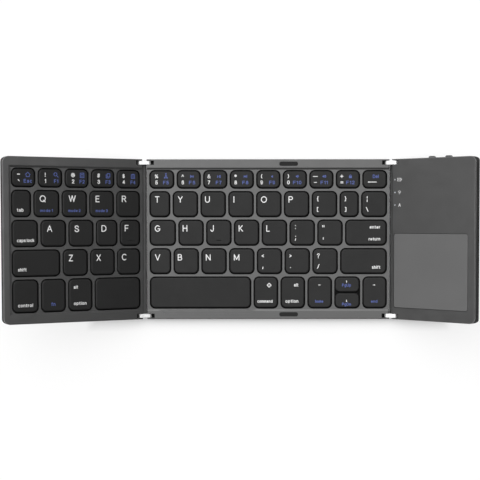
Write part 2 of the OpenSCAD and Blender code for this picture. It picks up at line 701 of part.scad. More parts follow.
// Tip of a rear control, with a collar that holds it in from inside
module rear_tip(x, collar_w) {
    z0 = tip_z - tip_h / 2;
    slab(z0, z0 + tip_h) rrect([x - tip_w / 2, beam_y - 0.2, x + tip_w / 2, hy + tip_out], tip_r);
    block(x - collar_w / 2, x + collar_w / 2, beam_y - 0.1 - collar_t, beam_y - 0.1,
        z0 - 0.5, z0 + tip_h + 0.5);
}
module power_switch() { color("#2e2f31") right_place() rear_tip(switch_x, tip_w + 2 * switch_travel + 1.4); }
module pairing_button() { color("#2e2f31") right_place() rear_tip(button_x, tip_w + 1.4); }

// ---- hinges ----
// Two links with round ends, one near each end of a fold
module links() {
    for (s = [0, 1]) mirror([0, s, 0]) difference() {
        union() {
            rod_y(0, 0, link_in, link_in + link_t, link_r);
            rod_y(pin_pitch, 0, link_in, link_in + link_t, link_r);
            block(0, pin_pitch, link_in, link_in + link_t, -link_r, link_r);
        }
        for (x = [0, pin_pitch]) rod_y(x, 0, link_in - cut, link_in + link_t + cut, pin_r + eps);
    }
}
module pins() {
    for (s = [0, 1]) mirror([0, s, 0]) for (x = [0, pin_pitch])
        rod_y(x, 0, beam_y + 0.2, hy - link_inset / 2, pin_r);
}
// Bar between the links that closes the fold from below: a rib on a wider flange
module spine(lip_a, lip_b) {
    top = -max(lip_a, lip_b) - spine_gap;
    along_y(-link_in, link_in) {
        translate([pin_pitch / 2 - 0.55, top - spine_t]) square([1.1, spine_t]);
        translate([lip_a + spine_gap + 0.1, top - 2 * spine_t])
            square([pin_pitch - lip_a - lip_b - 2 * spine_gap - 0.2, spine_t + eps]);
    }
}
module left_hinge_links() { color("#dfe1e4") left_link_place() links(); }
module left_hinge_pins() { color("#b8babd") left_link_place() pins(); }
module left_hinge_spine() { color("#47484a") left_link_place() spine(centre_lip, left_lip); }
module right_hinge_links() { color("#dfe1e4") right_link_place() links(); }
module right_hinge_pins() { color("#b8babd") right_link_place() pins(); }
module right_hinge_spine() { color("#47484a") right_link_place() spine(centre_lip, right_lip); }

// ---- keys ----
left_grey = "#2c2d2f";
centre_grey = "#3c3d3f";
module left_set(r, from, to) {
    color(left_grey) left_place() caps([for (i = [from : to]) cap_of(left_cell(r, i))]);
}
module centre_set(r, from, to) {
    color(centre_grey) stand() caps([for (i = [from : to]) cap_of(centre_cell(r, i))]);
}
module keys_left_digits() { left_set(0, 0, 4); }
module keys_q_to_r() { left_set(1, 0, 3); }
module keys_a_to_f() {
    left_set(2, 0, 3);
    color(left_grey) left_place() homing_bar(cap_of(left_cell(2, 0)));
}
module keys_z_to_c() { left_set(3, 0, 2); }
module key_tab() { left_set(1, 4, 4); }
module key_caps_lock() { left_set(2, 4, 4); }
module key_left_shift() { left_set(3, 3, 3); }
module key_left_space() { left_set(4, 0, 0); }
module key_left_alt() { left_set(4, 1, 1); }
module key_fn() { left_set(4, 2, 2); }
module key_control() { left_set(4, 3, 3); }
module keys_right_digits() { centre_set(0, 0, 7); }
module key_backspace() { centre_set(0, 8, 8); }
module keys_t_to_bracket() { centre_set(1, 0, 8); }
module keys_g_to_quote() {
    centre_set(2, 0, 6);
    color(centre_grey) stand() homing_bar(cap_of(centre_cell(2, 2)));
}
module key_enter() { centre_set(2, 7, 7); }
module keys_v_to_slash() { centre_set(3, 0, 6); }
module key_right_shift() { centre_set(3, 7, 7); }
module key_right_space() { centre_set(4, 0, 0); }
module key_command() { centre_set(4, 1, 1); }
module key_option() { centre_set(4, 2, 2); }
module key_arrow_left() { centre_set(4, 3, 3); }
module key_arrow_up() { color(centre_grey) stand() cap(arrow_half(0)); }
module key_arrow_down() { color(centre_grey) stand() cap(arrow_half(1)); }
module key_arrow_right() { centre_set(4, 5, 5); }

centre_shell();
centre_deck();
centre_guide_frame();
centre_membrane();
centre_feet();
centre_screws();
fold_bumpers();
centre_magnets();
left_shell();
left_deck();
left_guide_frame();
left_membrane();
left_feet();
left_screws();
left_magnets();
right_shell();
right_cover();
touchpad();
touchpad_board();
main_board();
battery_pack();
charging_port();
indicator_lights();
right_feet();
right_screws();
right_magnets();
power_switch();
pairing_button();
left_hinge_links();
left_hinge_pins();
left_hinge_spine();
right_hinge_links();
right_hinge_pins();
right_hinge_spine();
keys_left_digits();
keys_q_to_r();
keys_a_to_f();
keys_z_to_c();
key_tab();
key_caps_lock();
key_left_shift();
key_control();
key_fn();
key_left_alt();
key_left_space();
keys_right_digits();
keys_t_to_bracket();
keys_g_to_quote();
keys_v_to_slash();
key_backspace();
key_enter();
key_right_shift();
key_right_space();
key_command();
key_option();
key_arrow_left();
key_arrow_up();
key_arrow_down();
key_arrow_right();
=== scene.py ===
import json
import math
import bmesh
import bpy
from mathutils import Matrix, Vector


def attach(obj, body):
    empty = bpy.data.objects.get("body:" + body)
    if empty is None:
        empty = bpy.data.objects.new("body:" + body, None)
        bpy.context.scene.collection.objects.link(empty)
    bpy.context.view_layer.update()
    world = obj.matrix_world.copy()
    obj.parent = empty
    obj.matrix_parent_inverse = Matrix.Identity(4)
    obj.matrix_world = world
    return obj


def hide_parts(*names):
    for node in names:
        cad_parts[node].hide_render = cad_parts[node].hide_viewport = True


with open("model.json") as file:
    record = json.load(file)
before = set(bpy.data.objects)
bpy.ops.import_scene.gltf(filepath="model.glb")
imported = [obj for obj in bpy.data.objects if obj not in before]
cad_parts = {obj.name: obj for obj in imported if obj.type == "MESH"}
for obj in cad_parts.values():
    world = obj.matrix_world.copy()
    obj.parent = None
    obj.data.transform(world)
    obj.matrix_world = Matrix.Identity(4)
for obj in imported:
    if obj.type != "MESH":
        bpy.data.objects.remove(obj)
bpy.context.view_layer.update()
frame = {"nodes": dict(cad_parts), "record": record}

NODES = frame["nodes"]
BODY = {node: body for body, nodes in frame["record"]["behaviour"]["bodies"].items() for node in nodes}
scene = bpy.context.scene

# ---------------------------------------------------------------- sizes, in millimetres
MM = 0.001                                   # a millimetre in metres
PANEL_T, FOOT = 6.0, 0.5                     # thickness of a panel, height of the feet under it
PIN_X, PIN_Z, LINK = 72.75, 3.7, 4.8         # the middle panel's hinge pins, and the step to the flap's
LEFT_TILT, RIGHT_TILT = math.radians(28.7), math.radians(40.7)
RIB, GAP, OPEN_R = 1.24, 0.65, 3.4           # rib between openings, gap round a cap, opening's corner
CAP_Z, CAP_H, CAP_WALL, CAP_TOP = 3.6, 2.25, 0.8, 0.85
TOP = CAP_Z + CAP_H                          # height of the key tops in a panel
ARROW_GAP = 0.7                              # between the up and the down arrow's caps
FIELD_REAR = 42.7
FIELD_X = {"left": (0.5, 81.35), "mid": (-72.7, 72.95)}

# Depth of each row from the rear, and widths of its cells: rightwards in the middle panel, and away
# from the fold in the left flap. Widths are in proportion, and cell() fits them to the key field.
ROW_DEPTH = [12.7, 17.3, 17.3, 17.3, 20.95]
ROWS = {
    "left": [
        [16.4, 16.2, 16.2, 16.2, 15.85],
        [16.7, 17, 17, 17, 13.15],
        [14.6, 15.1, 17, 17, 17.15],
        [16.4, 17, 17, 30.45],
        [30.7, 16.5, 16.5, 17.15]],
    "mid": [
        [16.7] + [16.2] * 7 + [16.54],
        [14.2] + [17] * 6 + [13.2, 17.24],
        [17.6] + [17] * 6 + [27.04],
        [14.6] + [17] * 6 + [30.04],
        [63.6, 16.5, 16.5, 16.5, 17.2, 16.34]],
}


def panel_place(x, z, angle, pin_z):
    """Leads from a panel's frame, in millimetres, to the scene's: the panel turns about its pin at x, z."""
    return (Matrix.Translation((x * MM, 0, z * MM)) @ Matrix.Rotation(angle, 4, "Y")
            @ Matrix.Translation((0, 0, -pin_z * MM)) @ Matrix.Scale(MM, 4))


def flap_place(side, tilt):
    """A flap on the left (-1) or right (1). Its link stands at half its tilt."""
    x = side * (PIN_X + LINK * math.cos(tilt / 2))
    z = FOOT + PIN_Z + LINK * math.sin(tilt / 2)
    return panel_place(x, z, -side * tilt, PIN_Z)


# A panel's frame: x to the right along the rows, y to the rear, z out of the key side
PLACE = {
    "mid": panel_place(0, FOOT, 0, 0),
    "left": flap_place(-1, LEFT_TILT),
    "right": flap_place(1, RIGHT_TILT),
}


# A box in a panel's frame is [x0, y0, x1, y1]
def cell(side, row, i):
    """Box of a key's cell, on whole hundredths of a millimetre as in the solids."""
    widths = ROWS[side][row]
    x0, x1 = FIELD_X[side]
    k = (x1 - x0) / sum(widths)
    a = round(x0 + k * sum(widths[:i]), 2)
    b = round(x0 + k * sum(widths[:i + 1]), 2)
    y0, y1 = (round(FIELD_REAR - sum(ROW_DEPTH[:n]), 2) for n in (row + 1, row))
    return [-b, y0, -a, y1] if side == "left" else [a, y0, b, y1]


def inset(box, by):
    return [box[0] + by, box[1] + by, box[2] - by, box[3] - by]


def cap_of(side, row, i):
    return inset(cell(side, row, i), RIB / 2 + GAP)


def arrow_half(upper):
    """The up and down arrows share one cell."""
    x0, y0, x1, y1 = cap_of("mid", 4, 4)
    middle = (y0 + y1) / 2
    return [x0, middle + ARROW_GAP / 2, x1, y1] if upper else [x0, y0, x1, middle - ARROW_GAP / 2]


# ---------------------------------------------------------------- materials
def srgb(v):
    v = v / 255
    return v / 12.92 if v <= 0.04045 else ((v + 0.055) / 1.055) ** 2.4


def rgb(r, g=None, b=None):
    """A colour from tones of 0 to 255. One tone alone is a grey."""
    g = r if g is None else g
    b = r if b is None else b
    return (srgb(r), srgb(g), srgb(b), 1)


class Nodes:
    """Short calls for one material's nodes."""

    def __init__(self, name):
        self.material = bpy.data.materials.new(name)
        self.material.use_nodes = True
        self.tree = self.material.node_tree
        self.tree.nodes.clear()
        self.out = self.node("ShaderNodeOutputMaterial")
        self.shader = self.node("ShaderNodeBsdfPrincipled")
        self.link(self.shader.outputs[0], self.out.inputs["Surface"])
        self.place = self.node("ShaderNodeTexCoord").outputs["Object"]

    def node(self, kind, **settings):
        new = self.tree.nodes.new(kind)
        for key, value in settings.items():
            setattr(new, key, value)
        return new

    def link(self, a, b):
        self.tree.links.new(a, b)

    def noise(self, scale, detail=3, rough=0.5, stretch=None):
        place = self.place
        if stretch:
            mapping = self.node("ShaderNodeMapping")
            mapping.inputs["Scale"].default_value = stretch
            self.link(place, mapping.inputs["Vector"])
            place = mapping.outputs[0]
        new = self.node("ShaderNodeTexNoise")
        new.inputs["Scale"].default_value = scale
        new.inputs["Detail"].default_value = detail
        new.inputs["Roughness"].default_value = rough
        self.link(place, new.inputs["Vector"])
        return new.outputs["Fac"]

    def cells(self, scale, feature="F1"):
        new = self.node("ShaderNodeTexVoronoi", feature=feature)
        new.inputs["Scale"].default_value = scale
        self.link(self.place, new.inputs["Vector"])
        return new.outputs["Distance"]

    def ramp(self, fac, stops):
        new = self.node("ShaderNodeValToRGB")
        elements = new.color_ramp.elements
        while len(elements) < len(stops):
            elements.new(0.5)
        for element, (position, colour) in zip(elements, stops):
            element.position = position
            element.color = colour
        self.link(fac, new.inputs["Fac"])
        return new.outputs["Color"]

    def span(self, fac, to_min, to_max, from_min=0.0, from_max=1.0):
        new = self.node("ShaderNodeMapRange")
        for key, value in (("From Min", from_min), ("From Max", from_max),
                           ("To Min", to_min), ("To Max", to_max)):
            new.inputs[key].default_value = value
        self.link(fac, new.inputs["Value"])
        return new.outputs["Result"]

    def math(self, op, a, b):
        new = self.node("ShaderNodeMath", operation=op)
        for i, value in enumerate((a, b)):
            if isinstance(value, (int, float)):
                new.inputs[i].default_value = value
            else:
                self.link(value, new.inputs[i])
        return new.outputs[0]

    def mix(self, fac, a, b):
        new = self.node("ShaderNodeMix", data_type="RGBA")
        for i, value in ((0, fac), (6, a), (7, b)):     # the sockets of a colour mix
            if isinstance(value, (int, float, tuple)):
                new.inputs[i].default_value = value
            else:
                self.link(value, new.inputs[i])
        return new.outputs[2]

    def bump(self, height, depth, normal=None):
        new = self.node("ShaderNodeBump")
        new.inputs["Strength"].default_value = 1.0
        new.inputs["Distance"].default_value = depth
        self.link(height, new.inputs["Height"])
        if normal:
            self.link(normal, new.inputs["Normal"])
        return new.outputs["Normal"]

    def edge(self, radius):
        """Mask of the edges, from a rounded normal against the true one."""
        bevel = self.node("ShaderNodeBevel", samples=4)
        bevel.inputs["Radius"].default_value = radius
        true = self.node("ShaderNodeNewGeometry")
        dot = self.node("ShaderNodeVectorMath", operation="DOT_PRODUCT")
        self.link(bevel.outputs[0], dot.inputs[0])
        self.link(true.outputs["Normal"], dot.inputs[1])
        return self.span(self.math("SUBTRACT", 1.0, dot.outputs["Value"]), 0, 1, 0.0, 0.35)

    def along(self, row):
        """One coordinate in a panel's frame, from a row of the matrix that leads there."""
        dot = self.node("ShaderNodeVectorMath", operation="DOT_PRODUCT")
        dot.inputs[1].default_value = row[:3]
        self.link(self.place, dot.inputs[0])
        return self.math("ADD", dot.outputs["Value"], row[3])

    def to(self, **sockets):
        """Sets or links the shader's sockets, with _ for a blank, and returns the material."""
        for key, value in sockets.items():
            socket = self.shader.inputs[key.replace("_", " ")]
            if isinstance(value, (int, float, tuple)):
                socket.default_value = value
            else:
                self.link(value, socket)
        return self.material


DECK_TONE, CAP_TONE, SHELL_TONE = 55, 35, 34
WEAR_RADIUS = 0.00035                        # of the paler worn edges, in metres

# Between these the grey of a deck fades into the black of its side walls: down from its top face, and
# in from its outer end
WALL_TOP = (0.7, 0.5)
WALL_END = (0.4, 0.2)

# The rim rises from the key field outside of these lines
SLOPE_REAR, SLOPE_FRONT = 42.35, -42.5
SLOPE_RUN, SLOPE_DEPTH = 1.1, 4.5e-4         # in millimetres, and in metres for the bump
NOWHERE = 200                                # further out than any panel reaches

# Panel: (reach of its outer end, end of its key field), both from the frame's origin
PANELS = {"mid": (NOWHERE, NOWHERE), "left": (85.6, 81.0), "right": (57.4, None)}


def panel_walls(k, colour, normal, side):
    """Blackens a deck's side walls and, where it has a key field, slopes its rim to it."""
    reach, field_end = PANELS[side]
    x, y, z = (k.along(row) for row in PLACE[side].inverted()[:3])
    far = k.math("ABSOLUTE", x, 0)
    low = k.span(z, 1, 0, *(PANEL_T - d for d in WALL_TOP))
    end = k.span(far, 0, 1, *(reach - d for d in WALL_END))
    colour = k.mix(k.math("MAXIMUM", low, end), colour, rgb(SHELL_TONE))
    if field_end:
        beyond = k.math("MAXIMUM", k.math("SUBTRACT", y, SLOPE_REAR), k.math("SUBTRACT", SLOPE_FRONT, y))
        beyond = k.math("MAXIMUM", beyond, k.math("SUBTRACT", far, field_end))
        normal = k.bump(k.span(beyond, 0, 1, 0, SLOPE_RUN), SLOPE_DEPTH, normal)
    return colour, normal


def moulded(name, tone, rough, spread=0.05, grain=4200, depth=5e-6, spec=0.5, wear=0.0, panel=None):
    """Moulded plastic: fine spark-eroded grain, a slow drift of tone and, with wear, paler edges.

    A deck names its panel, for its black side walls and its sloping rim.
    """
    k = Nodes(name)
    fine = k.noise(grain, 2, 0.6)
    pits = k.cells(grain * 0.55)
    colour = k.ramp(k.noise(38, 4, 0.55), [(0.3, rgb(tone * (1 - spread))), (0.7, rgb(tone * (1 + spread)))])
    colour = k.mix(k.span(fine, 0.0, 0.22), colour, rgb(tone * 1.12))
    if wear:
        colour = k.mix(k.math("MULTIPLY", k.edge(WEAR_RADIUS), wear), colour, rgb(tone * 1.5))
    normal = k.bump(k.math("ADD", fine, k.math("MULTIPLY", pits, 0.7)), depth)
    if panel:
        colour, normal = panel_walls(k, colour, normal, panel)
    gloss = k.span(k.noise(160, 3), rough - 0.05, rough + 0.06, 0.3, 0.7)
    return k.to(Base_Color=colour, Roughness=gloss, Normal=normal, Specular_IOR_Level=spec)


def rubber(name, tone):
    """Soft matte rubber."""
    k = Nodes(name)
    f = k.noise(2600, 4, 0.7)
    colour = k.ramp(f, [(0.3, rgb(tone * 0.85)), (0.75, rgb(tone * 1.2))])
    return k.to(Base_Color=colour, Roughness=k.span(f, 0.74, 0.9), Specular_IOR_Level=0.3,
                Normal=k.bump(k.noise(5200, 2), 1.2e-5))


def metal(name, tone, rough, scale=900, stretch=(1, 1, 1), metallic=1.0):
    """Metal with fine drawn lines, small stains and a soft drift of gloss."""
    k = Nodes(name)
    lines = k.noise(scale, 3, 0.6, stretch)
    stain = k.noise(240, 4, 0.6)
    colour = k.ramp(stain, [(0.25, rgb(tone * 0.93)), (0.6, rgb(tone)), (0.9, rgb(min(255, tone * 1.03)))])
    gloss = k.math("ADD", k.span(lines, rough - 0.05, rough + 0.06), k.span(stain, -0.03, 0.04))
    return k.to(Base_Color=colour, Metallic=metallic, Roughness=gloss, Normal=k.bump(lines, 2e-6))


def printed(name, colour):
    """Printed ink: even, with faint screen grain."""
    k = Nodes(name)
    f = k.noise(3200, 3, 0.6)
    dim = tuple(v * 0.86 for v in colour[:3]) + (1,)
    return k.to(Base_Color=k.ramp(f, [(0.25, dim), (0.55, colour)]), Roughness=k.span(f, 0.55, 0.65),
                Normal=k.bump(f, 3e-6), Specular_IOR_Level=0.3)


def board(name):
    """Green circuit board with paler tracks."""
    k = Nodes(name)
    tracks = k.cells(420, "DISTANCE_TO_EDGE")
    colour = k.mix(k.span(tracks, 1, 0, 0.0, 0.05), rgb(24, 74, 48), rgb(36, 104, 66))
    colour = k.mix(k.span(k.noise(900, 3), 0, 0.25), colour, rgb(16, 56, 38))
    return k.to(Base_Color=colour, Roughness=0.4, Normal=k.bump(tracks, 2e-5))


def foil(name, tone):
    """Creased foil of a battery pouch."""
    k = Nodes(name)
    f = k.noise(500, 5, 0.65)
    return k.to(Base_Color=k.ramp(f, [(0.3, rgb(tone * 0.85)), (0.7, rgb(tone))]), Metallic=0.7,
                Roughness=k.span(f, 0.3, 0.5), Normal=k.bump(f, 6e-5))


def film(name):
    """Grey membrane film with printed tracks."""
    k = Nodes(name)
    tracks = k.cells(180, "DISTANCE_TO_EDGE")
    colour = k.mix(k.span(tracks, 1, 0, 0.0, 0.08), rgb(128, 140, 134), rgb(176, 182, 180))
    colour = k.mix(k.span(k.noise(1400, 2), 0, 0.2), colour, rgb(98, 108, 104))
    return k.to(Base_Color=colour, Roughness=0.42, Normal=k.bump(tracks, 1e-5))


def lens(name):
    """Milky plastic of the indicator lights."""
    k = Nodes(name)
    f = k.noise(1800, 2)
    return k.to(Base_Color=k.ramp(f, [(0.3, rgb(188)), (0.7, rgb(222))]), Roughness=k.span(f, 0.25, 0.4),
                Subsurface_Weight=0.2, Normal=k.bump(f, 2e-6))


M_DECK = {side: moulded("deck_satin_grey_" + side, DECK_TONE, 0.33, depth=4e-6, spec=0.95, wear=0.06,
                        panel=side) for side in PANELS}
M_CAP = moulded("keycap_charcoal", CAP_TONE, 0.5, grain=3600, depth=7e-6, spec=0.2)
M_SHELL = moulded("shell_black_grain", SHELL_TONE, 0.6, spread=0.06, grain=2600, depth=1.4e-5, spec=0.12,
                  wear=0.25)
M_PAD = moulded("touchpad_matte_film", 91, 0.46, spread=0.02, grain=6500, depth=2.5e-6, spec=0.4)
M_SPINE = moulded("spine_grey", 74, 0.5, wear=0.3)
M_DARK = moulded("guide_black", 20, 0.7, grain=3000, depth=8e-6, spec=0.2)
M_TIP = moulded("control_grey", 74, 0.5, grain=3800, depth=6e-6, spec=0.4, wear=0.3)
M_BUMPER = rubber("bumper_rubber", 32)
M_FOOT = rubber("foot_rubber", 38)
M_LINK = metal("link_bright_nickel", 238, 0.34, 700, (1, 14, 1), 0.55)
M_PIN = metal("pin_steel", 190, 0.28, 1200)
M_SCREW = metal("screw_blackened", 62, 0.4, 1500)
M_SOCKET = metal("socket_steel", 205, 0.25, 900, (1, 1, 8))
M_MAGNET = metal("magnet_nickel", 190, 0.3)
M_WHITE = printed("ink_white", rgb(232))
M_BLUE = printed("ink_blue", rgb(84, 98, 160))
M_MARK = printed("ink_pale_grey", rgb(206))
M_BOARD = board("board_green")
M_FOIL = foil("battery_foil", 205)
M_FILM = film("membrane_film")
M_LENS = lens("lens_clear")


# ---------------------------------------------------------------- mesh helpers
def finish_mesh(bm, name, body, place, material, sharp=38, node=None):
    """Closes a bmesh drawn in a panel's frame into a piece that rides on a body."""
    mesh = bpy.data.meshes.new(name)
    bm.to_mesh(mesh)
    bm.free()
    mesh.transform(place)
    mesh.update()
    for face in mesh.polygons:
        face.use_smooth = True
    mesh.set_sharp_from_angle(angle=math.radians(sharp))
    mesh.materials.append(material)
    piece = bpy.data.objects.new(name, mesh)
    scene.collection.objects.link(piece)
    if node:
        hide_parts(node)
    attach(piece, body)


def outline(box, r, n):
    """A box with round corners of n points each."""
    x0, y0, x1, y1 = box
    r = max(0.02, min(r, (x1 - x0) / 2 - 0.001, (y1 - y0) / 2 - 0.001))
    points = []
    corners = [(x1 - r, y1 - r), (x0 + r, y1 - r), (x0 + r, y0 + r), (x1 - r, y0 + r)]
    for turn, (cx, cy) in enumerate(corners):
        for k in range(n):
            a = math.radians(90 * turn + 90 * k / (n - 1))
            points.append((cx + r * math.cos(a), cy + r * math.sin(a)))
    return points


class Loft:
    """A closed solid through round-cornered outlines of one box."""

    def __init__(self, box, r, n):
        self.box, self.r, self.n, self.rings = box, r, n, []

    def ring(self, by, z):
        """The outline, brought in by so much, at height z."""
        flat = outline(inset(self.box, by), self.r - by, self.n)
        self.rings.append([(x, y, z) for x, y in flat])

    def close(self, bm):
        rows = [[bm.verts.new(p) for p in ring] for ring in self.rings]
        for a, b in zip(rows, rows[1:]):
            for i in range(len(a)):
                j = (i + 1) % len(a)
                bm.faces.new((a[i], a[j], b[j], b[i]))
        bm.faces.new(rows[0][::-1])
        bm.faces.new(rows[-1])


SLAB_FLAT, CAP_FLAT = 0.25, 0.35             # from a rounded edge to the ring that starts the flat top


def quarter(steps):
    """Angles from 0 to a right angle."""
    return [math.pi / 2 * k / steps for k in range(steps + 1)]


def rounded_slab(bm, box, r, z0, z1, edge, low, n, steps):
    """A plate with round corners, its upper edges rounded by edge and its lower ones by low."""
    slab = Loft(box, r, n)
    if low:
        for a in quarter(steps):
            slab.ring(low * (1 - math.sin(a)), z0 + low * (1 - math.cos(a)))
    else:
        slab.ring(0, z0)
    for a in quarter(steps):
        slab.ring(edge * (1 - math.cos(a)), z1 - edge * (1 - math.sin(a)))
    slab.ring(edge + SLAB_FLAT, z1)
    slab.close(bm)


EDGE_RUN, EDGE_FALL, EDGE_STEPS = 0.72, 1.0, 7   # a cap's rounded edge
CHAMFER, CHAMFER_UP = 0.1, 0.12              # at the foot of its skirt, and its height outside
STEM_HALF, STEM_Z = 1.2, 2.75                # half a stem's width, and the height of its lower end
WIDE_HALF, STEM_IN = 12, 6                   # above this half width two more stems, so far from the ends
BAR_HALF, BAR_DEPTH, BAR_UP = 1.6, 0.4, 0.12     # of the bar on F and J: half its length, depth, height
BAR_LOW = 2.6                                # from the front of the cap


def key_cap(bm, box):
    """A hollow cap with a rounded upper edge and one or three stems."""
    cap = Loft(box, OPEN_R - GAP, 9)
    cap.ring(CAP_WALL, TOP - CAP_TOP)
    cap.ring(CAP_WALL, CAP_Z + CHAMFER)
    cap.ring(CAP_WALL - CHAMFER, CAP_Z)
    cap.ring(CHAMFER, CAP_Z)
    cap.ring(0.0, CAP_Z + CHAMFER_UP)
    for a in quarter(EDGE_STEPS):
        cap.ring(EDGE_RUN * (1 - math.cos(a)), TOP - EDGE_FALL * (1 - math.sin(a)))
    cap.ring(EDGE_RUN + CAP_FLAT, TOP)
    cap.close(bm)
    x, half, y = (box[0] + box[2]) / 2, (box[2] - box[0]) / 2, (box[1] + box[3]) / 2
    for sx in ([x - half + STEM_IN, x, x + half - STEM_IN] if half > WIDE_HALF else [x]):
        stem = [sx - STEM_HALF, y - STEM_HALF, sx + STEM_HALF, y + STEM_HALF]
        rounded_slab(bm, stem, 0.2, STEM_Z, TOP - CAP_TOP + 0.02, 0.02, 0.15, 3, 2)


def homing_bar(bm, box):
    """The small raised bar on F and J."""
    x, y = (box[0] + box[2]) / 2, box[1] + BAR_LOW
    bar = [x - BAR_HALF, y, x + BAR_HALF, y + BAR_DEPTH]
    rounded_slab(bm, bar, 0.2, TOP - 0.02, TOP + BAR_UP, 0.08, 0, 4, 3)


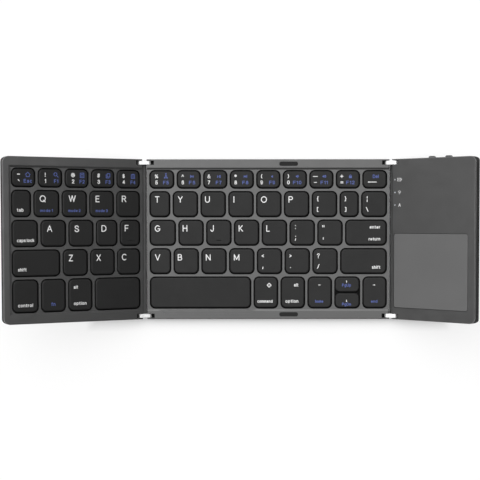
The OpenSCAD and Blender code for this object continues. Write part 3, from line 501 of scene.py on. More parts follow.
# ---------------------------------------------------------------- lettering
# A glyph is drawn on a cap height of 1, in pairs of x and y. Semicolons divide its parts, and each
# starts with its kind:
# l  straight lines through points            c  a smooth curve through points
# a  an arc: centre, radii, two angles        o  a closed ring: centre, radii
# d  a dot                                    f  a filled outline
GLYPHS = {
    "A": "l 0 0 .39 1 .78 0;l .14 .34 .64 .34",
    "B": "l .36 .52 0 .52 0 1 .34 1;a .34 .76 .23 .24 90 -90;l 0 .52 0 0 .36 0;a .36 .26 .28 .26 90 -90",
    "C": "a .42 .5 .42 .5 48 312",
    "D": "l .32 0 0 0 0 1 .32 1;a .32 .5 .45 .5 90 -90",
    "E": "l .57 1 0 1 0 0 .59 0;l 0 .52 .52 .52",
    "F": "l .58 1 0 1 0 0;l 0 .5 .52 .5",
    "G": "a .43 .5 .43 .5 46 322;l .78 .2 .84 .46 .5 .46",
    "H": "l 0 0 0 1;l .68 0 .68 1;l 0 .52 .68 .52",
    "I": "l 0 0 0 1",
    "J": "l .46 1 .46 .27;a .23 .27 .23 .27 0 -172",
    "K": "l 0 0 0 1;l 0 .34 .58 1;l .2 .56 .62 0",
    "L": "l 0 1 0 0 .46 0",
    "M": "l 0 0 0 1 .42 .12 .84 1 .84 0",
    "N": "l 0 0 0 1 .7 0 .7 1",
    "O": "o .46 .5 .46 .5",
    "P": "l 0 0 0 1 .36 1;a .36 .73 .27 .27 90 -90;l .36 .46 0 .46",
    "Q": "o .46 .5 .46 .5;l .56 .24 .9 -.05",
    "R": "l 0 0 0 1 .37 1;a .37 .75 .27 .25 90 -90;l 0 .5 .37 .5 .68 0",
    "S": "c .62 .77 .55 .93 .33 1 .11 .94 .03 .76 .12 .6 .33 .52 .56 .43 .66 .25 .56 .07 .33 0 .1 .07 "
         "0 .26",
    "T": "l 0 1 .64 1;l .32 1 .32 0",
    "U": "l 0 1 0 .36;a .36 .36 .36 .36 180 360;l .72 .36 .72 1",
    "V": "l 0 1 .4 0 .8 1",
    "W": "l 0 1 .28 0 .56 1 .84 0 1.12 1",
    "X": "l 0 0 .64 1;l 0 1 .64 0",
    "Y": "l 0 1 .35 .44 .7 1;l .35 .44 .35 0",
    "Z": "l .02 1 .62 1 0 0 .64 0",
    "0": "o .29 .5 .29 .5",
    "1": "l .06 .78 .3 1 .3 0",
    "2": "c .03 .72 .09 .91 .29 1 .5 .92 .56 .74 .47 .52 .22 .24 0 0;l 0 0 .58 0",
    "3": "c .03 .8 .12 .95 .29 1 .48 .94 .53 .77 .45 .6 .24 .53;c .24 .53 .48 .47 .57 .28 .49 .07 .29 "
         "0 .09 .06 0 .24",
    "4": "l .42 0 .42 1 0 .3 .6 .3",
    "5": "l .52 1 .12 1 .05 .5;c .05 .5 .27 .62 .5 .54 .57 .32 .48 .08 .27 0 .08 .06 0 .22",
    "6": "c .52 .84 .42 .97 .27 1 .08 .86 .01 .5 .05 .2 .16 .03 .3 0 .48 .07 .56 .31 .48 .55 .3 .62 "
         ".12 .56 .02 .36",
    "7": "l 0 1 .56 1;c .56 1 .36 .66 .23 .3 .19 0",
    "8": "o .29 .76 .22 .24;o .29 .26 .28 .26",
    "9": "c .04 .16 .14 .03 .29 0 .48 .14 .55 .5 .51 .8 .4 .97 .26 1 .08 .93 0 .69 .08 .45 .26 .38 "
         ".44 .44 .54 .64",
    "!": "l 0 .34 0 1;d 0 0",
    "@": "o .5 .5 .5 .5;o .5 .5 .2 .22;l .7 .7 .68 .34",
    "#": "l .16 0 .28 1;l .46 0 .58 1;l .04 .7 .72 .7;l 0 .3 .68 .3",
    "$": "c .56 .76 .48 .88 .3 .92 .1 .86 .05 .72 .14 .57 .3 .5 .5 .42 .58 .27 .5 .12 .3 .07 .1 .12 "
         ".02 .26;l .3 -.08 .3 1.08",
    "%": "l .08 0 .72 1;o .15 .78 .15 .2;o .65 .22 .15 .2",
    "^": "l 0 .45 .26 1 .52 .45",
    "&": "c .7 0 .22 .68 .18 .86 .33 1 .47 .86 .38 .66 .08 .42 0 .22 .12 .04 .3 0 .52 .12 .68 .42",
    "*": "l .3 .34 .3 .98;l .02 .5 .58 .82;l .02 .82 .58 .5",
    "(": "a .5 .5 .46 .62 122 238",
    ")": "a -.26 .5 .46 .62 58 -58",
    "_": "l 0 .45 1.25 .45",
    "-": "l 0 .5 .7 .5",
    "+": "l 0 .5 .8 .5;l .4 .1 .4 .9",
    "=": "l 0 .68 .66 .68;l 0 .32 .66 .32",
    "~": "c 0 .42 .14 .6 .34 .52 .52 .42 .72 .6",
    "`": "l 0 .8 .3 .4",
    "{": "c .3 1.05 .16 1 .16 .7 .14 .56 0 .5;c 0 .5 .14 .44 .16 .3 .16 0 .3 -.05",
    "}": "c 0 1.05 .14 1 .14 .7 .16 .56 .3 .5;c .3 .5 .16 .44 .14 .3 .14 0 0 -.05",
    "[": "l .22 1 0 1 0 0 .22 0",
    "]": "l 0 1 .22 1 .22 0 0 0",
    "|": "l 0 .62 0 1.05;l 0 -.2 0 .26",
    "\\": "l 0 1 .44 0",
    ":": "d 0 .96;d 0 .22",
    ";": "d .06 .88;l .08 .3 0 -.1",
    '"': "l 0 1 0 .6;l .36 1 .36 .6",
    "'": "l 0 .56 0 .16",
    "<": "l .42 .76 0 .5 .42 .24",
    ">": "l 0 .76 .42 .5 0 .24",
    ",": "l .1 .34 0 -.08",
    ".": "d 0 .23",
    "?": "c 0 .76 .08 .94 .27 1 .48 .93 .52 .74 .4 .57 .26 .42 .26 .28;d .26 0",
    "/": "l 0 0 .4 1",
    "a": "c .05 .56 .12 .68 .27 .72 .43 .66 .47 .5 .47 .1 .52 0;c .47 .44 .28 .41 .1 .34 .01 .18 .09 "
         ".03 .24 0 .4 .06 .47 .2",
    "b": "l 0 0 0 1;o .27 .36 .27 .36",
    "c": "a .27 .36 .27 .36 46 314",
    "d": "o .27 .36 .27 .36;l .54 0 .54 1",
    "e": "a .28 .36 .28 .36 2 318;l 0 .37 .56 .37",
    "f": "l .13 0 .13 .8;a .3 .8 .17 .2 180 84;l 0 .7 .3 .7",
    "g": "o .27 .36 .27 .36;l .54 .72 .54 -.08;a .28 -.08 .26 .22 0 -158",
    "h": "l 0 0 0 1;a .24 .48 .24 .24 180 0;l .48 .48 .48 0",
    "i": "l 0 0 0 .72;d 0 .98",
    "k": "l 0 0 0 1;l 0 .26 .42 .72;l .16 .43 .46 0",
    "l": "l 0 0 0 1",
    "m": "l 0 0 0 .72;a .2 .5 .2 .22 180 0;l .4 .5 .4 0;a .6 .5 .2 .22 180 0;l .8 .5 .8 0",
    "n": "l 0 0 0 .72;a .24 .48 .24 .24 180 0;l .48 .48 .48 0",
    "o": "o .28 .36 .28 .36",
    "p": "l 0 -.28 0 .72;o .27 .36 .27 .36",
    "r": "l 0 0 0 .72;a .24 .46 .24 .26 180 84",
    "s": "c .41 .56 .34 .68 .21 .72 .06 .66 .02 .54 .1 .42 .22 .37 .39 .3 .45 .18 .37 .04 .21 0 .05 "
         ".06 0 .18",
    "t": "l .13 .94 .13 .14;a .27 .14 .14 .14 180 280;l 0 .7 .3 .7",
    "u": "l 0 .72 0 .24;a .24 .24 .24 .24 180 360;l .48 .72 .48 0",
    # small signs
    "<home>": "l 0 .48 .55 1 1.1 .48;l .18 .4 .18 0 .92 0 .92 .4",
    "<find>": "o .36 .62 .34 .36;l .64 .34 1.0 0",
    "<all>": "l 0 0 0 1 .86 1 .86 0 0 0;l .2 .68 .66 .68;l .2 .34 .66 .34",
    "<copy>": "l .26 .26 .26 1 .92 1 .92 .26 .26 .26;l .05 .76 0 .76 0 0 .68 0",
    "<paste>": "l 0 0 0 .88 .84 .88 .84 0 0 0;l .28 1 .56 1;l .24 .58 .6 .58;l .24 .3 .6 .3",
    "<cut>": "l .2 .3 .6 1.45;l .74 .3 .34 1.45;o .14 .14 .14 .16;o .8 .14 .14 .16",
    "<prev>": "l 0 .05 0 .95;f .14 .5 .6 0 .6 1;f .66 .5 1.12 0 1.12 1",
    "<play>": "f 0 0 .52 .5 0 1;l .8 .08 .8 .92;l 1.12 .08 1.12 .92",
    "<next>": "f 0 0 .46 .5 0 1;f .52 0 .98 .5 .52 1;l 1.12 .05 1.12 .95",
    "<mute>": "f 0 .32 .22 .32 .22 .68 0 .68;f .22 .32 .56 0 .56 1 .22 .68",
    "<low>": "f 0 .32 .22 .32 .22 .68 0 .68;f .22 .32 .56 0 .56 1 .22 .68;a .58 .5 .26 .3 -48 48",
    "<loud>": "f 0 .32 .22 .32 .22 .68 0 .68;f .22 .32 .56 0 .56 1 .22 .68;a .58 .5 .24 .26 -48 48;a "
              ".58 .5 .5 .5 -50 50",
    "<lock>": "f 0 0 .84 0 .84 .58 0 .58;a .42 .58 .26 .38 0 180",
    "<left>": "l .34 .5 1.1 .5;f 0 .5 .5 .16 .5 .84",
    "<right>": "l 0 .5 .76 .5;f 1.1 .5 .6 .84 .6 .16",
    "<up>": "l .5 0 .5 .7;f .5 1.1 .16 .6 .84 .6",
    "<down>": "l .5 1.1 .5 .4;f .5 0 .84 .5 .16 .5",
    "<back>": "l .4 .5 3.6 .5;f 0 .5 .66 .14 .66 .86",
    "<gem>": "l .5 0 0 .5 .5 1 1 .5 .5 0;d .5 .5",
    "<cell>": "l 0 0 0 1 1.7 1 1.7 0 0 0;l 2 .34 2 .66;l .42 .5 .86 .5;l 1.14 .5 1.34 .5",
    "<wave>": "d .5 .02;a .5 .02 .34 .42 38 142;a .5 .02 .68 .9 44 136",
}


def arc(cx, cy, rx, ry, start=0, end=360):
    """Points along an arc, about one for every 18 degrees."""
    n = max(4, int(abs(end - start) / 18))
    turns = [math.radians(start + (end - start) * i / n) for i in range(n + 1)]
    return [(cx + rx * math.cos(t), cy + ry * math.sin(t)) for t in turns]


def curve(points):
    """A Catmull-Rom curve through the points, in three steps for each stretch."""
    ends = [points[0]] + points + [points[-1]]
    out = []
    for four in zip(ends, ends[1:], ends[2:], ends[3:]):
        for t in (0, 1 / 3, 2 / 3):
            out.append(tuple(0.5 * (2 * b + (c - a) * t + (2 * a - 5 * b + 4 * c - d) * t * t
                                    + (3 * b - a - 3 * c + d) * t ** 3) for a, b, c, d in zip(*four)))
    out.append(points[-1])
    return out


def strokes(code):
    """Reads a glyph's code into pairs of a kind (line, ring, dot or fill) and its points."""
    out = []
    for part in code.split(";"):
        kind, *words = part.split()
        numbers = [float(word) for word in words]
        points = list(zip(numbers[::2], numbers[1::2]))
        if kind == "l":
            out += [("line", [a, b]) for a, b in zip(points, points[1:])]
        elif kind == "c":
            out.append(("line", curve(points)))
        elif kind == "a":
            out.append(("line", arc(*numbers)))
        elif kind == "o":
            out.append(("ring", arc(*numbers)[:-1]))
        else:
            out.append(({"d": "dot", "f": "fill"}[kind], points))
    return out


BLANK = 0.26                                 # width of a blank, on a cap height of 1


def layout(text, size, space):
    """Each glyph's shift with its strokes, and the text's width, both on a cap height of 1.

    A text such as <home> is one sign. The width runs between the middles of the outermost strokes.
    """
    height, stroke = size
    pen_width = stroke / (height - stroke)
    glyphs = [text] if text.startswith("<") and len(text) > 1 else text
    placed, pen = [], 0.0
    for glyph in glyphs:
        if glyph == " ":
            pen += BLANK
            continue
        parts = strokes(GLYPHS[glyph])
        xs = [x for _, points in parts for x, _ in points]
        placed.append((pen - min(xs), parts))
        pen += max(xs) - min(xs) + space + pen_width
    return placed, pen - space - pen_width


def round_end(tip, before, half):
    """Points of a half round about a stroke's tip."""
    d = (tip - before).normalized()
    turns = [math.atan2(d.y, d.x) + math.radians(a) for a in (-60, -30, 0, 30, 60)]
    return [tip + Vector((math.cos(t), math.sin(t))) * half for t in turns]


def across(a, b):
    """Unit vector square to the way from a to b."""
    d = (b - a).normalized()
    return Vector((-d.y, d.x))


# How far print stands above its face and reaches into it, and by how much crossing strokes differ
INK_UP, INK_DOWN, INK_STEP = 0.014, 0.012, 0.0009


class Ink:
    """Thin raised print on a face at height z. Strokes that cross differ a little in height."""

    def __init__(self, z):
        self.bm, self.z, self.count = bmesh.new(), z, 0

    def heights(self):
        """Foot and top of the next stroke."""
        top = self.z + INK_UP + (self.count % 7) * INK_STEP
        self.count += 1
        return self.z - INK_DOWN, top

    def prism(self, points):
        low, high = self.heights()
        if sum(a[0] * b[1] - b[0] * a[1] for a, b in zip(points, points[1:] + points[:1])) < 0:
            points = points[::-1]
        foot = [self.bm.verts.new((x, y, low)) for x, y in points]
        head = [self.bm.verts.new((x, y, high)) for x, y in points]
        self.bm.faces.new(foot[::-1])
        self.bm.faces.new(head)
        for i in range(len(points)):
            j = (i + 1) % len(points)
            self.bm.faces.new((foot[i], foot[j], head[j], head[i]))

    def line(self, points, width):
        """A stroke with round ends."""
        half = width / 2
        p = [Vector(q) for q in points]
        sides = [across(a, b) * half for a, b in zip(p[:1] + p, p[1:] + p[-1:])]
        right = [q - s for q, s in zip(p, sides)]
        left = [q + s for q, s in zip(p, sides)]
        outer = right + round_end(p[-1], p[-2], half) + left[::-1] + round_end(p[0], p[1], half)
        self.prism([(v.x, v.y) for v in outer])

    def ring(self, points, width):
        """A stroke that closes on itself."""
        p = [Vector(q) for q in points]
        n = len(p)
        sides = [across(p[i - 1], p[(i + 1) % n]) * (width / 2) for i in range(n)]
        edges = [[q + s for q, s in zip(p, sides)], [q - s for q, s in zip(p, sides)]]
        heights = self.heights()
        a_low, a_high, b_low, b_high = [
            [self.bm.verts.new((q.x, q.y, z)) for q in edge] for edge in edges for z in heights]
        for i in range(n):
            j = (i + 1) % n
            self.bm.faces.new((a_high[i], a_high[j], b_high[j], b_high[i]))
            self.bm.faces.new((a_low[j], a_low[i], b_low[i], b_low[j]))
            self.bm.faces.new((a_low[i], a_low[j], a_high[j], a_high[i]))
            self.bm.faces.new((b_low[j], b_low[i], b_high[i], b_high[j]))

    def dot(self, points, width):
        r = width * 0.62
        x, y = points[0]
        turns = [k * math.pi / 5 for k in range(10)]
        self.prism([(x + r * math.cos(t), y + r * math.sin(t)) for t in turns])

    def write(self, text, x, y, size, align="l", space=0.2, squeeze=1.0):
        """Text of size (height, stroke). x, y is its lower left (l), middle (m) or right (r) corner."""
        height, stroke = size
        k = height - stroke
        placed, width = layout(text, size, space)
        width *= k * squeeze
        x0 = {"l": x + stroke / 2, "m": x - width / 2, "r": x - stroke / 2 - width}[align]
        for shift, parts in placed:
            for kind, points in parts:
                spots = [(x0 + (a + shift) * k * squeeze, y + stroke / 2 + b * k) for a, b in points]
                if kind == "fill":
                    self.prism(spots)
                else:
                    {"line": self.line, "ring": self.ring, "dot": self.dot}[kind](spots, stroke)


def fit(ink, text, x, y, size, width, align="l"):
    """Writes a word so that it takes a given width."""
    space, (height, stroke) = 0.16, size
    free = layout(text, size, space)[1] * (height - stroke)
    ink.write(text, x, y, size, align, space, (width - stroke) / free)


# Sizes of print: (height, stroke)
LETTER, WORD, PAIR = (3.9, 0.52), (2.0, 0.34), (2.9, 0.44)
DIGIT_UPPER, DIGIT_LOWER, F_KEY = (2.45, 0.4), (2.4, 0.42), (2.15, 0.36)
ARROW, MODE, PAGE = (1.6, 0.34), (1.7, 0.3), (1.85, 0.3)


# What is printed on a key. Each function takes the white and the blue ink and the cap's box, and its
# places are measured from the nearest sides of the cap: drop from the rear, low from the front.
def letter(ink, blue, box, char, left, drop, mode=None):
    """A large letter and, on some keys, a blue word below it."""
    ink.write(char, box[0] + left, box[3] - drop - LETTER[0], LETTER)
    if mode:
        fit(blue, mode, box[0] + 3.3, box[1] + 2.55, MODE, 7.6)


def digit(ink, blue, box, upper, lower, sign, f_key, left, blue_left, sign_height, squeeze):
    """Two white signs on the left, a blue sign and an F key on the right."""
    ink.write(upper, box[0] + left, box[3] - 2.0 - DIGIT_UPPER[0], DIGIT_UPPER, "m")
    ink.write(lower, box[0] + left + 0.05, box[1] + 2.05, DIGIT_LOWER, "m")
    blue.write(sign, box[0] + blue_left, box[3] - 3.3 - sign_height / 2, (sign_height, 0.36), "m")
    blue.write(f_key, box[0] + blue_left, box[1] + 2.1, F_KEY, "m", 0.2, squeeze)


def pair(ink, blue, box, upper, lower):
    """Two large signs, one above the other."""
    ink.write(upper, box[0] + 3.05, box[3] - 2.7 - PAIR[0], PAIR, "m")
    ink.write(lower, box[0] + 3.05, box[1] + 2.75, PAIR, "m")


def from_side(box, by, align):
    """A place at some distance from the left (l) or right (r) side."""
    return box[0] + by if align == "l" else box[2] - by


def word(ink, blue, box, text, by, low, width, align="l"):
    """One small word near the front."""
    fit(ink, text, from_side(box, by, align), box[1] + low, WORD, width, align)


def two_words(ink, blue, box, upper, drop, upper_width, lower, low, lower_width, by, align):
    """One small word near the rear and one near the front."""
    x = from_side(box, by, align)
    fit(ink, upper, x, box[3] - drop - WORD[0], WORD, upper_width, align)
    fit(ink, lower, x, box[1] + low, WORD, lower_width, align)


def function(ink, blue, box, text):
    """The blue word on the function key."""
    blue.write(text, box[0] + 6.75, box[1] + 3.1, (2.2, 0.34), "m", 0.18)


def command(ink, blue, box, sign, text):
    """A sign near the rear and a word near the front."""
    ink.write(sign, box[0] + 8.9, box[3] - 6.15, (2.9, 0.42), "m")
    fit(ink, text, box[0] + 1.75, box[1] + 3.05, (1.85, 0.32), 9.2)


def arrow(ink, blue, box, sign, text, width):
    """A white arrow over a blue word."""
    ink.write(sign, box[0] + 6.6, box[3] - 5.4, ARROW, "m")
    fit(blue, text, box[0] + 6.6 - width / 2, box[1] + 2.95, (1.8, 0.3), width)


def half_arrow(ink, blue, box, sign, drop, text, text_drop):
    """The same on a cap of half the depth."""
    x = (box[0] + box[2]) / 2
    ink.write(sign, x - 0.45, box[3] - drop, ARROW, "m")
    fit(blue, text, x - 3.15, box[3] - text_drop, PAGE, 5.4)


def backspace(ink, blue, box, sign, text):
    """A long arrow under a blue word."""
    ink.write(sign, box[0] + 2.4, box[1] + 2.5, (1.9, 0.42))
    fit(blue, text, box[0] + 5.75, box[3] - 4.35, (2.15, 0.34), 3.5)


def bare(ink, blue, box):
    """A key with nothing on it."""


# Node: (panel, row, first cell, [the print of each key, as a function and its values])
KEYS = {
    "keys_left_digits": ("left", 0, 0, [
        (digit, "$", "4", "<paste>", "F4", 3.85, 9.85, 2.9, 1),
        (digit, "#", "3", "<copy>", "F3", 4.2, 10.1, 2.9, 1),
        (digit, "@", "2", "<all>", "F2", 4.5, 10.1, 3.0, 1),
        (digit, "!", "1", "<find>", "F1", 3.85, 10.4, 3.0, 1),
        (digit, "~", "`", "<home>", "Esc", 3.9, 9.3, 2.9, 1.1)]),
    "keys_q_to_r": ("left", 1, 0, [
        (letter, "R", 2.9, 2.3),
        (letter, "E", 3.3, 2.45, "mode 3"),
        (letter, "W", 3.65, 2.35, "mode 2"),
        (letter, "Q", 3.1, 2.55, "mode 1")]),
    "keys_a_to_f": ("left", 2, 0, [
        (letter, "F", 2.55, 2.6), (letter, "D", 2.85, 2.65), (letter, "S", 3.1, 2.8),
        (letter, "A", 3.3, 2.65)]),
    "keys_z_to_c": ("left", 3, 0, [
        (letter, "C", 2.35, 2.65), (letter, "X", 3.3, 2.8), (letter, "Z", 3.05, 2.7)]),
    "key_tab": ("left", 1, 4, [(word, "tab", 2.7, 2.65, 3.9)]),
    "key_caps_lock": ("left", 2, 4, [(word, "caps lock", 2.55, 2.4, 10.2)]),
    "key_left_shift": ("left", 3, 3, [(word, "shift", 2.95, 2.75, 5.05)]),
    "key_control": ("left", 4, 3, [(word, "control", 2.85, 3.0, 8.8)]),
    "key_fn": ("left", 4, 2, [(function, "fn")]),
    "key_left_alt": ("left", 4, 1, [(two_words, "alt", 3.55, 2.65, "option", 3.2, 7.85, 2.8, "l")]),
    "key_left_space": ("left", 4, 0, [(bare,)]),
    "keys_right_digits": ("mid", 0, 0, [
        (digit, "%", "5", "<cut>", "F5", 3.8, 9.55, 2.4, 1.1),
        (digit, "^", "6", "<prev>", "F6", 3.1, 8.8, 2.0, 1.25),
        (digit, "&", "7", "<play>", "F7", 2.95, 8.9, 2.0, 1.15),
        (digit, "*", "8", "<next>", "F8", 3.0, 8.9, 2.0, 1.2),
        (digit, "(", "9", "<mute>", "F9", 2.7, 9.05, 2.1, 1.15),
        (digit, ")", "0", "<low>", "F10", 2.8, 8.2, 2.3, 1.2),
        (digit, "_", "-", "<loud>", "F11", 3.1, 8.45, 2.2, 1.2),
        (digit, "+", "=", "<lock>", "F12", 3.05, 8.25, 2.4, 1.2)]),
    "keys_t_to_bracket": ("mid", 1, 0, [
        (letter, "T", 2.85, 2.55), (letter, "Y", 2.65, 2.5), (letter, "U", 2.2, 2.55),
        (letter, "I", 2.6, 2.55), (letter, "O", 2.35, 2.6), (letter, "P", 2.2, 2.55),
        (pair, "{", "["), (pair, "}", "]"), (pair, "|", "\\")]),
    "keys_g_to_quote": ("mid", 2, 0, [
        (letter, "G", 2.65, 2.85), (letter, "H", 2.1, 2.75), (letter, "J", 2.05, 2.8),
        (letter, "K", 2.3, 2.8), (letter, "L", 2.2, 2.85), (pair, ":", ";"), (pair, '"', "'")]),
    "keys_v_to_slash": ("mid", 3, 0, [
        (letter, "V", 2.65, 3.1), (letter, "B", 2.0, 3.05), (letter, "N", 2.2, 3.1),
        (letter, "M", 2.35, 3.1), (pair, "<", ","), (pair, ">", "."), (pair, "?", "/")]),
    "key_backspace": ("mid", 0, 8, [(backspace, "<back>", "Del")]),
    "key_enter": ("mid", 2, 7, [(two_words, "enter", 2.95, 6.4, "return", 2.6, 7.0, 3.55, "r")]),
    "key_right_shift": ("mid", 3, 7, [(word, "shift", 3.45, 2.7, 5.1, "r")]),
    "key_right_space": ("mid", 4, 0, [(bare,)]),
    "key_command": ("mid", 4, 1, [(command, "<gem>", "command")]),
    "key_option": ("mid", 4, 2, [(two_words, "alt", 3.55, 2.65, "option", 3.0, 7.85, 3.6, "r")]),
    "key_arrow_left": ("mid", 4, 3, [(arrow, "<left>", "home", 4.9)]),
    "key_arrow_up": ("mid", 4, 4, [(half_arrow, "<up>", 3.3, "PgUp", 5.6)]),
    "key_arrow_down": ("mid", 4, 4, [(half_arrow, "<down>", 5.7, "PgDn", 7.7)]),
    "key_arrow_right": ("mid", 4, 5, [(arrow, "<right>", "end", 3.9)]),
}

for node, (side, row, first, prints) in KEYS.items():
    caps, ink, blue = bmesh.new(), Ink(TOP), Ink(TOP)
    for i, (kind, *values) in enumerate(prints, first):
        box = arrow_half(node == "key_arrow_up") if kind is half_arrow else cap_of(side, row, i)
        key_cap(caps, box)
        kind(ink, blue, box, *values)
        if kind is letter and values[0] in "FJ":
            homing_bar(caps, box)
    finish_mesh(caps, "cap_" + node, BODY[node], PLACE[side], M_CAP, 40, node)
    if ink.count:
        finish_mesh(ink.bm, "print_" + node, BODY[node], PLACE[side], M_WHITE)
    if blue.count:
        finish_mesh(blue.bm, "blue_" + node, BODY[node], PLACE[side], M_BLUE)

# Touchpad: a thin plate with a soft edge, flush in the cover
PAD, PAD_R, PAD_LOW, PAD_TOP = [0.7, -41.25, 52.4, 3.45], 1.3, 5.2, 5.95
pad = bmesh.new()
rounded_slab(pad, PAD, PAD_R, PAD_LOW, PAD_TOP, 0.14, 0.08, 9, 4)
finish_mesh(pad, "touchpad_plate", "right_flap", PLACE["right"], M_PAD, 40, "touchpad")

# Marks beside the indicator lights, from the rear: battery, radio and capitals
LIGHT_REAR, LIGHT_STEP = 36.05, 7.65
marks = Ink(PANEL_T)
for i, (sign, x, size, align, squeeze) in enumerate((
        ("<cell>", 3.0, (1.9, 0.3), "l", 0.95),
        ("<wave>", 4.7, (2.3, 0.32), "m", 1.0),
        ("A", 4.75, (2.1, 0.34), "m", 1.0))):
    marks.write(sign, x, LIGHT_REAR - i * LIGHT_STEP - size[0] / 2, size, align, 0.2, squeeze)
finish_mesh(marks.bm, "print_indicator_marks", "right_flap", PLACE["right"], M_MARK)


# ---------------------------------------------------------------- carried-over CAD nodes
def dress(node, material, radius=0.0, segments=2):
    """Gives a CAD node its finish and, with a radius in millimetres, a bevel on its sharp edges."""
    ob = NODES[node]
    ob.data.materials.clear()
    ob.data.materials.append(material)
    if radius:
        weld = ob.modifiers.new("weld", "WELD")
        weld.merge_threshold = 2e-6
        planar = ob.modifiers.new("planar", "DECIMATE")
        planar.decimate_type = "DISSOLVE"
        planar.angle_limit = math.radians(0.6)
        bevel = ob.modifiers.new("edge", "BEVEL")
        bevel.width = radius * MM
        bevel.segments = segments
        bevel.limit_method = "ANGLE"
        bevel.angle_limit = math.radians(32)
        bevel.use_clamp_overlap = True
        shade = ob.modifiers.new("shade", "WEIGHTED_NORMAL")
        shade.keep_sharp = False


for node, *finish in (
        ("centre_deck", M_DECK["mid"], 0.12),
        ("left_deck", M_DECK["left"], 0.12),
        ("right_cover", M_DECK["right"], 0.12),
        ("centre_shell", M_SHELL, 0.12),
        ("left_shell", M_SHELL, 0.12),
        ("right_shell", M_SHELL, 0.12),
        ("centre_guide_frame", M_DARK),
        ("left_guide_frame", M_DARK),
        ("centre_membrane", M_FILM),
        ("left_membrane", M_FILM),
        ("left_hinge_links", M_LINK, 0.22, 3),
        ("right_hinge_links", M_LINK, 0.22, 3),
        ("left_hinge_pins", M_PIN, 0.1),
        ("right_hinge_pins", M_PIN, 0.1),
        ("left_hinge_spine", M_SPINE, 0.1),
        ("right_hinge_spine", M_SPINE, 0.1),
        ("centre_magnets", M_MAGNET),
        ("left_magnets", M_MAGNET),
        ("right_magnets", M_MAGNET),
        ("touchpad_board", M_BOARD),
        ("main_board", M_BOARD),
        ("battery_pack", M_FOIL),
        ("charging_port", M_SOCKET, 0.08),
        ("indicator_lights", M_LENS),
        ("centre_feet", M_FOOT, 0.18, 3),
        ("left_feet", M_FOOT, 0.18, 3),
        ("right_feet", M_FOOT, 0.18, 3),
        ("fold_bumpers", M_BUMPER, 0.05),
        ("centre_screws", M_SCREW, 0.1),
        ("left_screws", M_SCREW, 0.1),
        ("right_screws", M_SCREW, 0.1),
        ("power_switch", M_TIP, 0.15),
        ("pairing_button", M_TIP, 0.15)):
    dress(node, *finish)


# ---------------------------------------------------------------- stage, lamps and camera, in metres
FLOOR_HALF, FLOOR_DROP = 3, 0.00002          # half its side, and how far it lies below the feet
SHADOW_LIFT = 0.75                           # how far white thins the shadow, away from the object
LIFT_FROM = {"X": 0.1, "Y": 0.045}           # where that starts, out from the middle of the floor
LIFT_FADE = 0.012                            # the way over which it grows
WORLD_POWER, OVERHEAD_POWER, STRIP_POWER = 2.9, 1.5, 1.2
SKY_KEY = (-0.34, 0.50, 0.80)                # where the soft light mostly comes from
SKY_DIM = 0.04                               # its share 60 degrees from there, and beyond


def floor():
    """Pale floor that keeps a soft shadow. For the camera, white thins it away from the object."""
    k = Nodes("floor_white")
    k.tree.nodes.remove(k.shader)
    matte = k.node("ShaderNodeBsdfDiffuse")
    matte.inputs["Color"].default_value = (0.93, 0.93, 0.93, 1)
    white = k.node("ShaderNodeEmission")
    white.inputs["Strength"].default_value = 1.0
    axes = k.node("ShaderNodeSeparateXYZ")
    k.link(k.place, axes.inputs[0])
    away = [k.span(k.math("ABSOLUTE", axes.outputs[axis], 0), 0, 1, start, start + LIFT_FADE)
            for axis, start in LIFT_FROM.items()]
    lift = k.math("MULTIPLY", k.math("MAXIMUM", *away), SHADOW_LIFT)
    seen = k.math("MULTIPLY", k.node("ShaderNodeLightPath").outputs["Is Camera Ray"], lift)
    mixed = k.node("ShaderNodeMixShader")
    k.link(seen, mixed.inputs[0])
    k.link(matte.outputs[0], mixed.inputs[1])
    k.link(white.outputs[0], mixed.inputs[2])
    k.link(mixed.outputs[0], k.out.inputs["Surface"])
    bm = bmesh.new()
    for x, y in ((-1, -1), (1, -1), (1, 1), (-1, 1)):
        bm.verts.new((x * FLOOR_HALF, y * FLOOR_HALF, -FLOOR_DROP))
    bm.faces.new(bm.verts)
    mesh = bpy.data.meshes.new("floor")
    bm.to_mesh(mesh)
    bm.free()
    mesh.materials.append(k.material)
    ob = bpy.data.objects.new("floor", mesh)
    scene.collection.objects.link(ob)


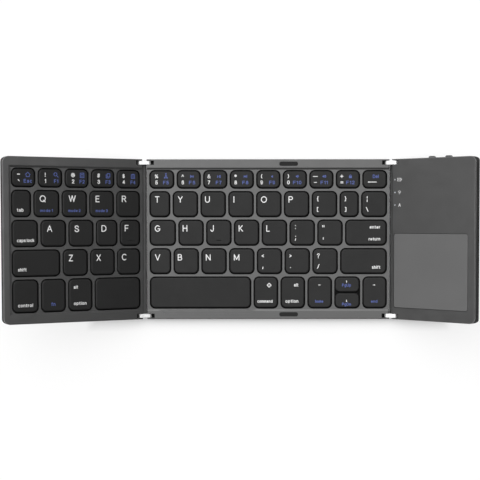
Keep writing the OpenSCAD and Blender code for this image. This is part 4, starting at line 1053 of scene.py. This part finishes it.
def sky():
    """Soft light, strongest from SKY_KEY. Only the camera sees plain white in its place."""
    world = bpy.data.worlds.new("studio")
    scene.world = world
    world.use_nodes = True
    tree = world.node_tree
    tree.nodes.clear()
    place = tree.nodes.new("ShaderNodeTexCoord")
    towards = tree.nodes.new("ShaderNodeVectorMath")
    towards.operation = "DOT_PRODUCT"
    towards.inputs[1].default_value = SKY_KEY
    ramp = tree.nodes.new("ShaderNodeValToRGB")
    dim, full = ramp.color_ramp.elements
    dim.position, full.position = 0.5, 1.0
    dim.color = (SKY_DIM, SKY_DIM, SKY_DIM, 1)
    full.color = (1, 1, 1, 1)
    light = tree.nodes.new("ShaderNodeBackground")
    light.inputs["Strength"].default_value = WORLD_POWER
    white = tree.nodes.new("ShaderNodeBackground")
    white.inputs["Color"].default_value = (1, 1, 1, 1)
    white.inputs["Strength"].default_value = 1.0
    path = tree.nodes.new("ShaderNodeLightPath")
    mixed = tree.nodes.new("ShaderNodeMixShader")
    out = tree.nodes.new("ShaderNodeOutputWorld")
    for a, b in ((place.outputs["Generated"], towards.inputs[0]),
                 (towards.outputs["Value"], ramp.inputs[0]),
                 (ramp.outputs[0], light.inputs["Color"]),
                 (path.outputs["Is Camera Ray"], mixed.inputs[0]),
                 (light.outputs[0], mixed.inputs[1]),
                 (white.outputs[0], mixed.inputs[2]),
                 (mixed.outputs[0], out.inputs["Surface"])):
        tree.links.new(a, b)


def lamp(name, at, to, size, power):
    """A rectangular soft lamp."""
    light = bpy.data.lights.new(name, "AREA")
    light.shape = "RECTANGLE"
    light.size, light.size_y = size
    light.energy = power
    ob = bpy.data.objects.new(name, light)
    scene.collection.objects.link(ob)
    ob.location = at
    ob.rotation_euler = (Vector(to) - Vector(at)).to_track_quat("-Z", "Y").to_euler()


def camera():
    """The photograph's view, almost straight down on the middle panel."""
    data = bpy.data.cameras.new("camera")
    data.lens = 89.48
    data.sensor_width = 36
    data.shift_x = -0.070
    data.shift_y = 0.0735
    data.clip_start = 0.01
    ob = bpy.data.objects.new("camera", data)
    scene.collection.objects.link(ob)
    ob.location = (0.00337, 0.01185, 0.7315)
    ob.rotation_euler = (math.radians(-2.66), 0, math.radians(-0.04))
    scene.camera = ob


floor()
sky()
lamp("overhead_softbox", (-0.35, 0.56, 1.3), (0, 0, 0), (0.9, 0.9), OVERHEAD_POWER)
lamp("strip_light", (0.63, 0.05, 1.2), (-0.08, 0, 0), (0.22, 0.8), STRIP_POWER)
camera()
scene.view_settings.view_transform = "Standard"
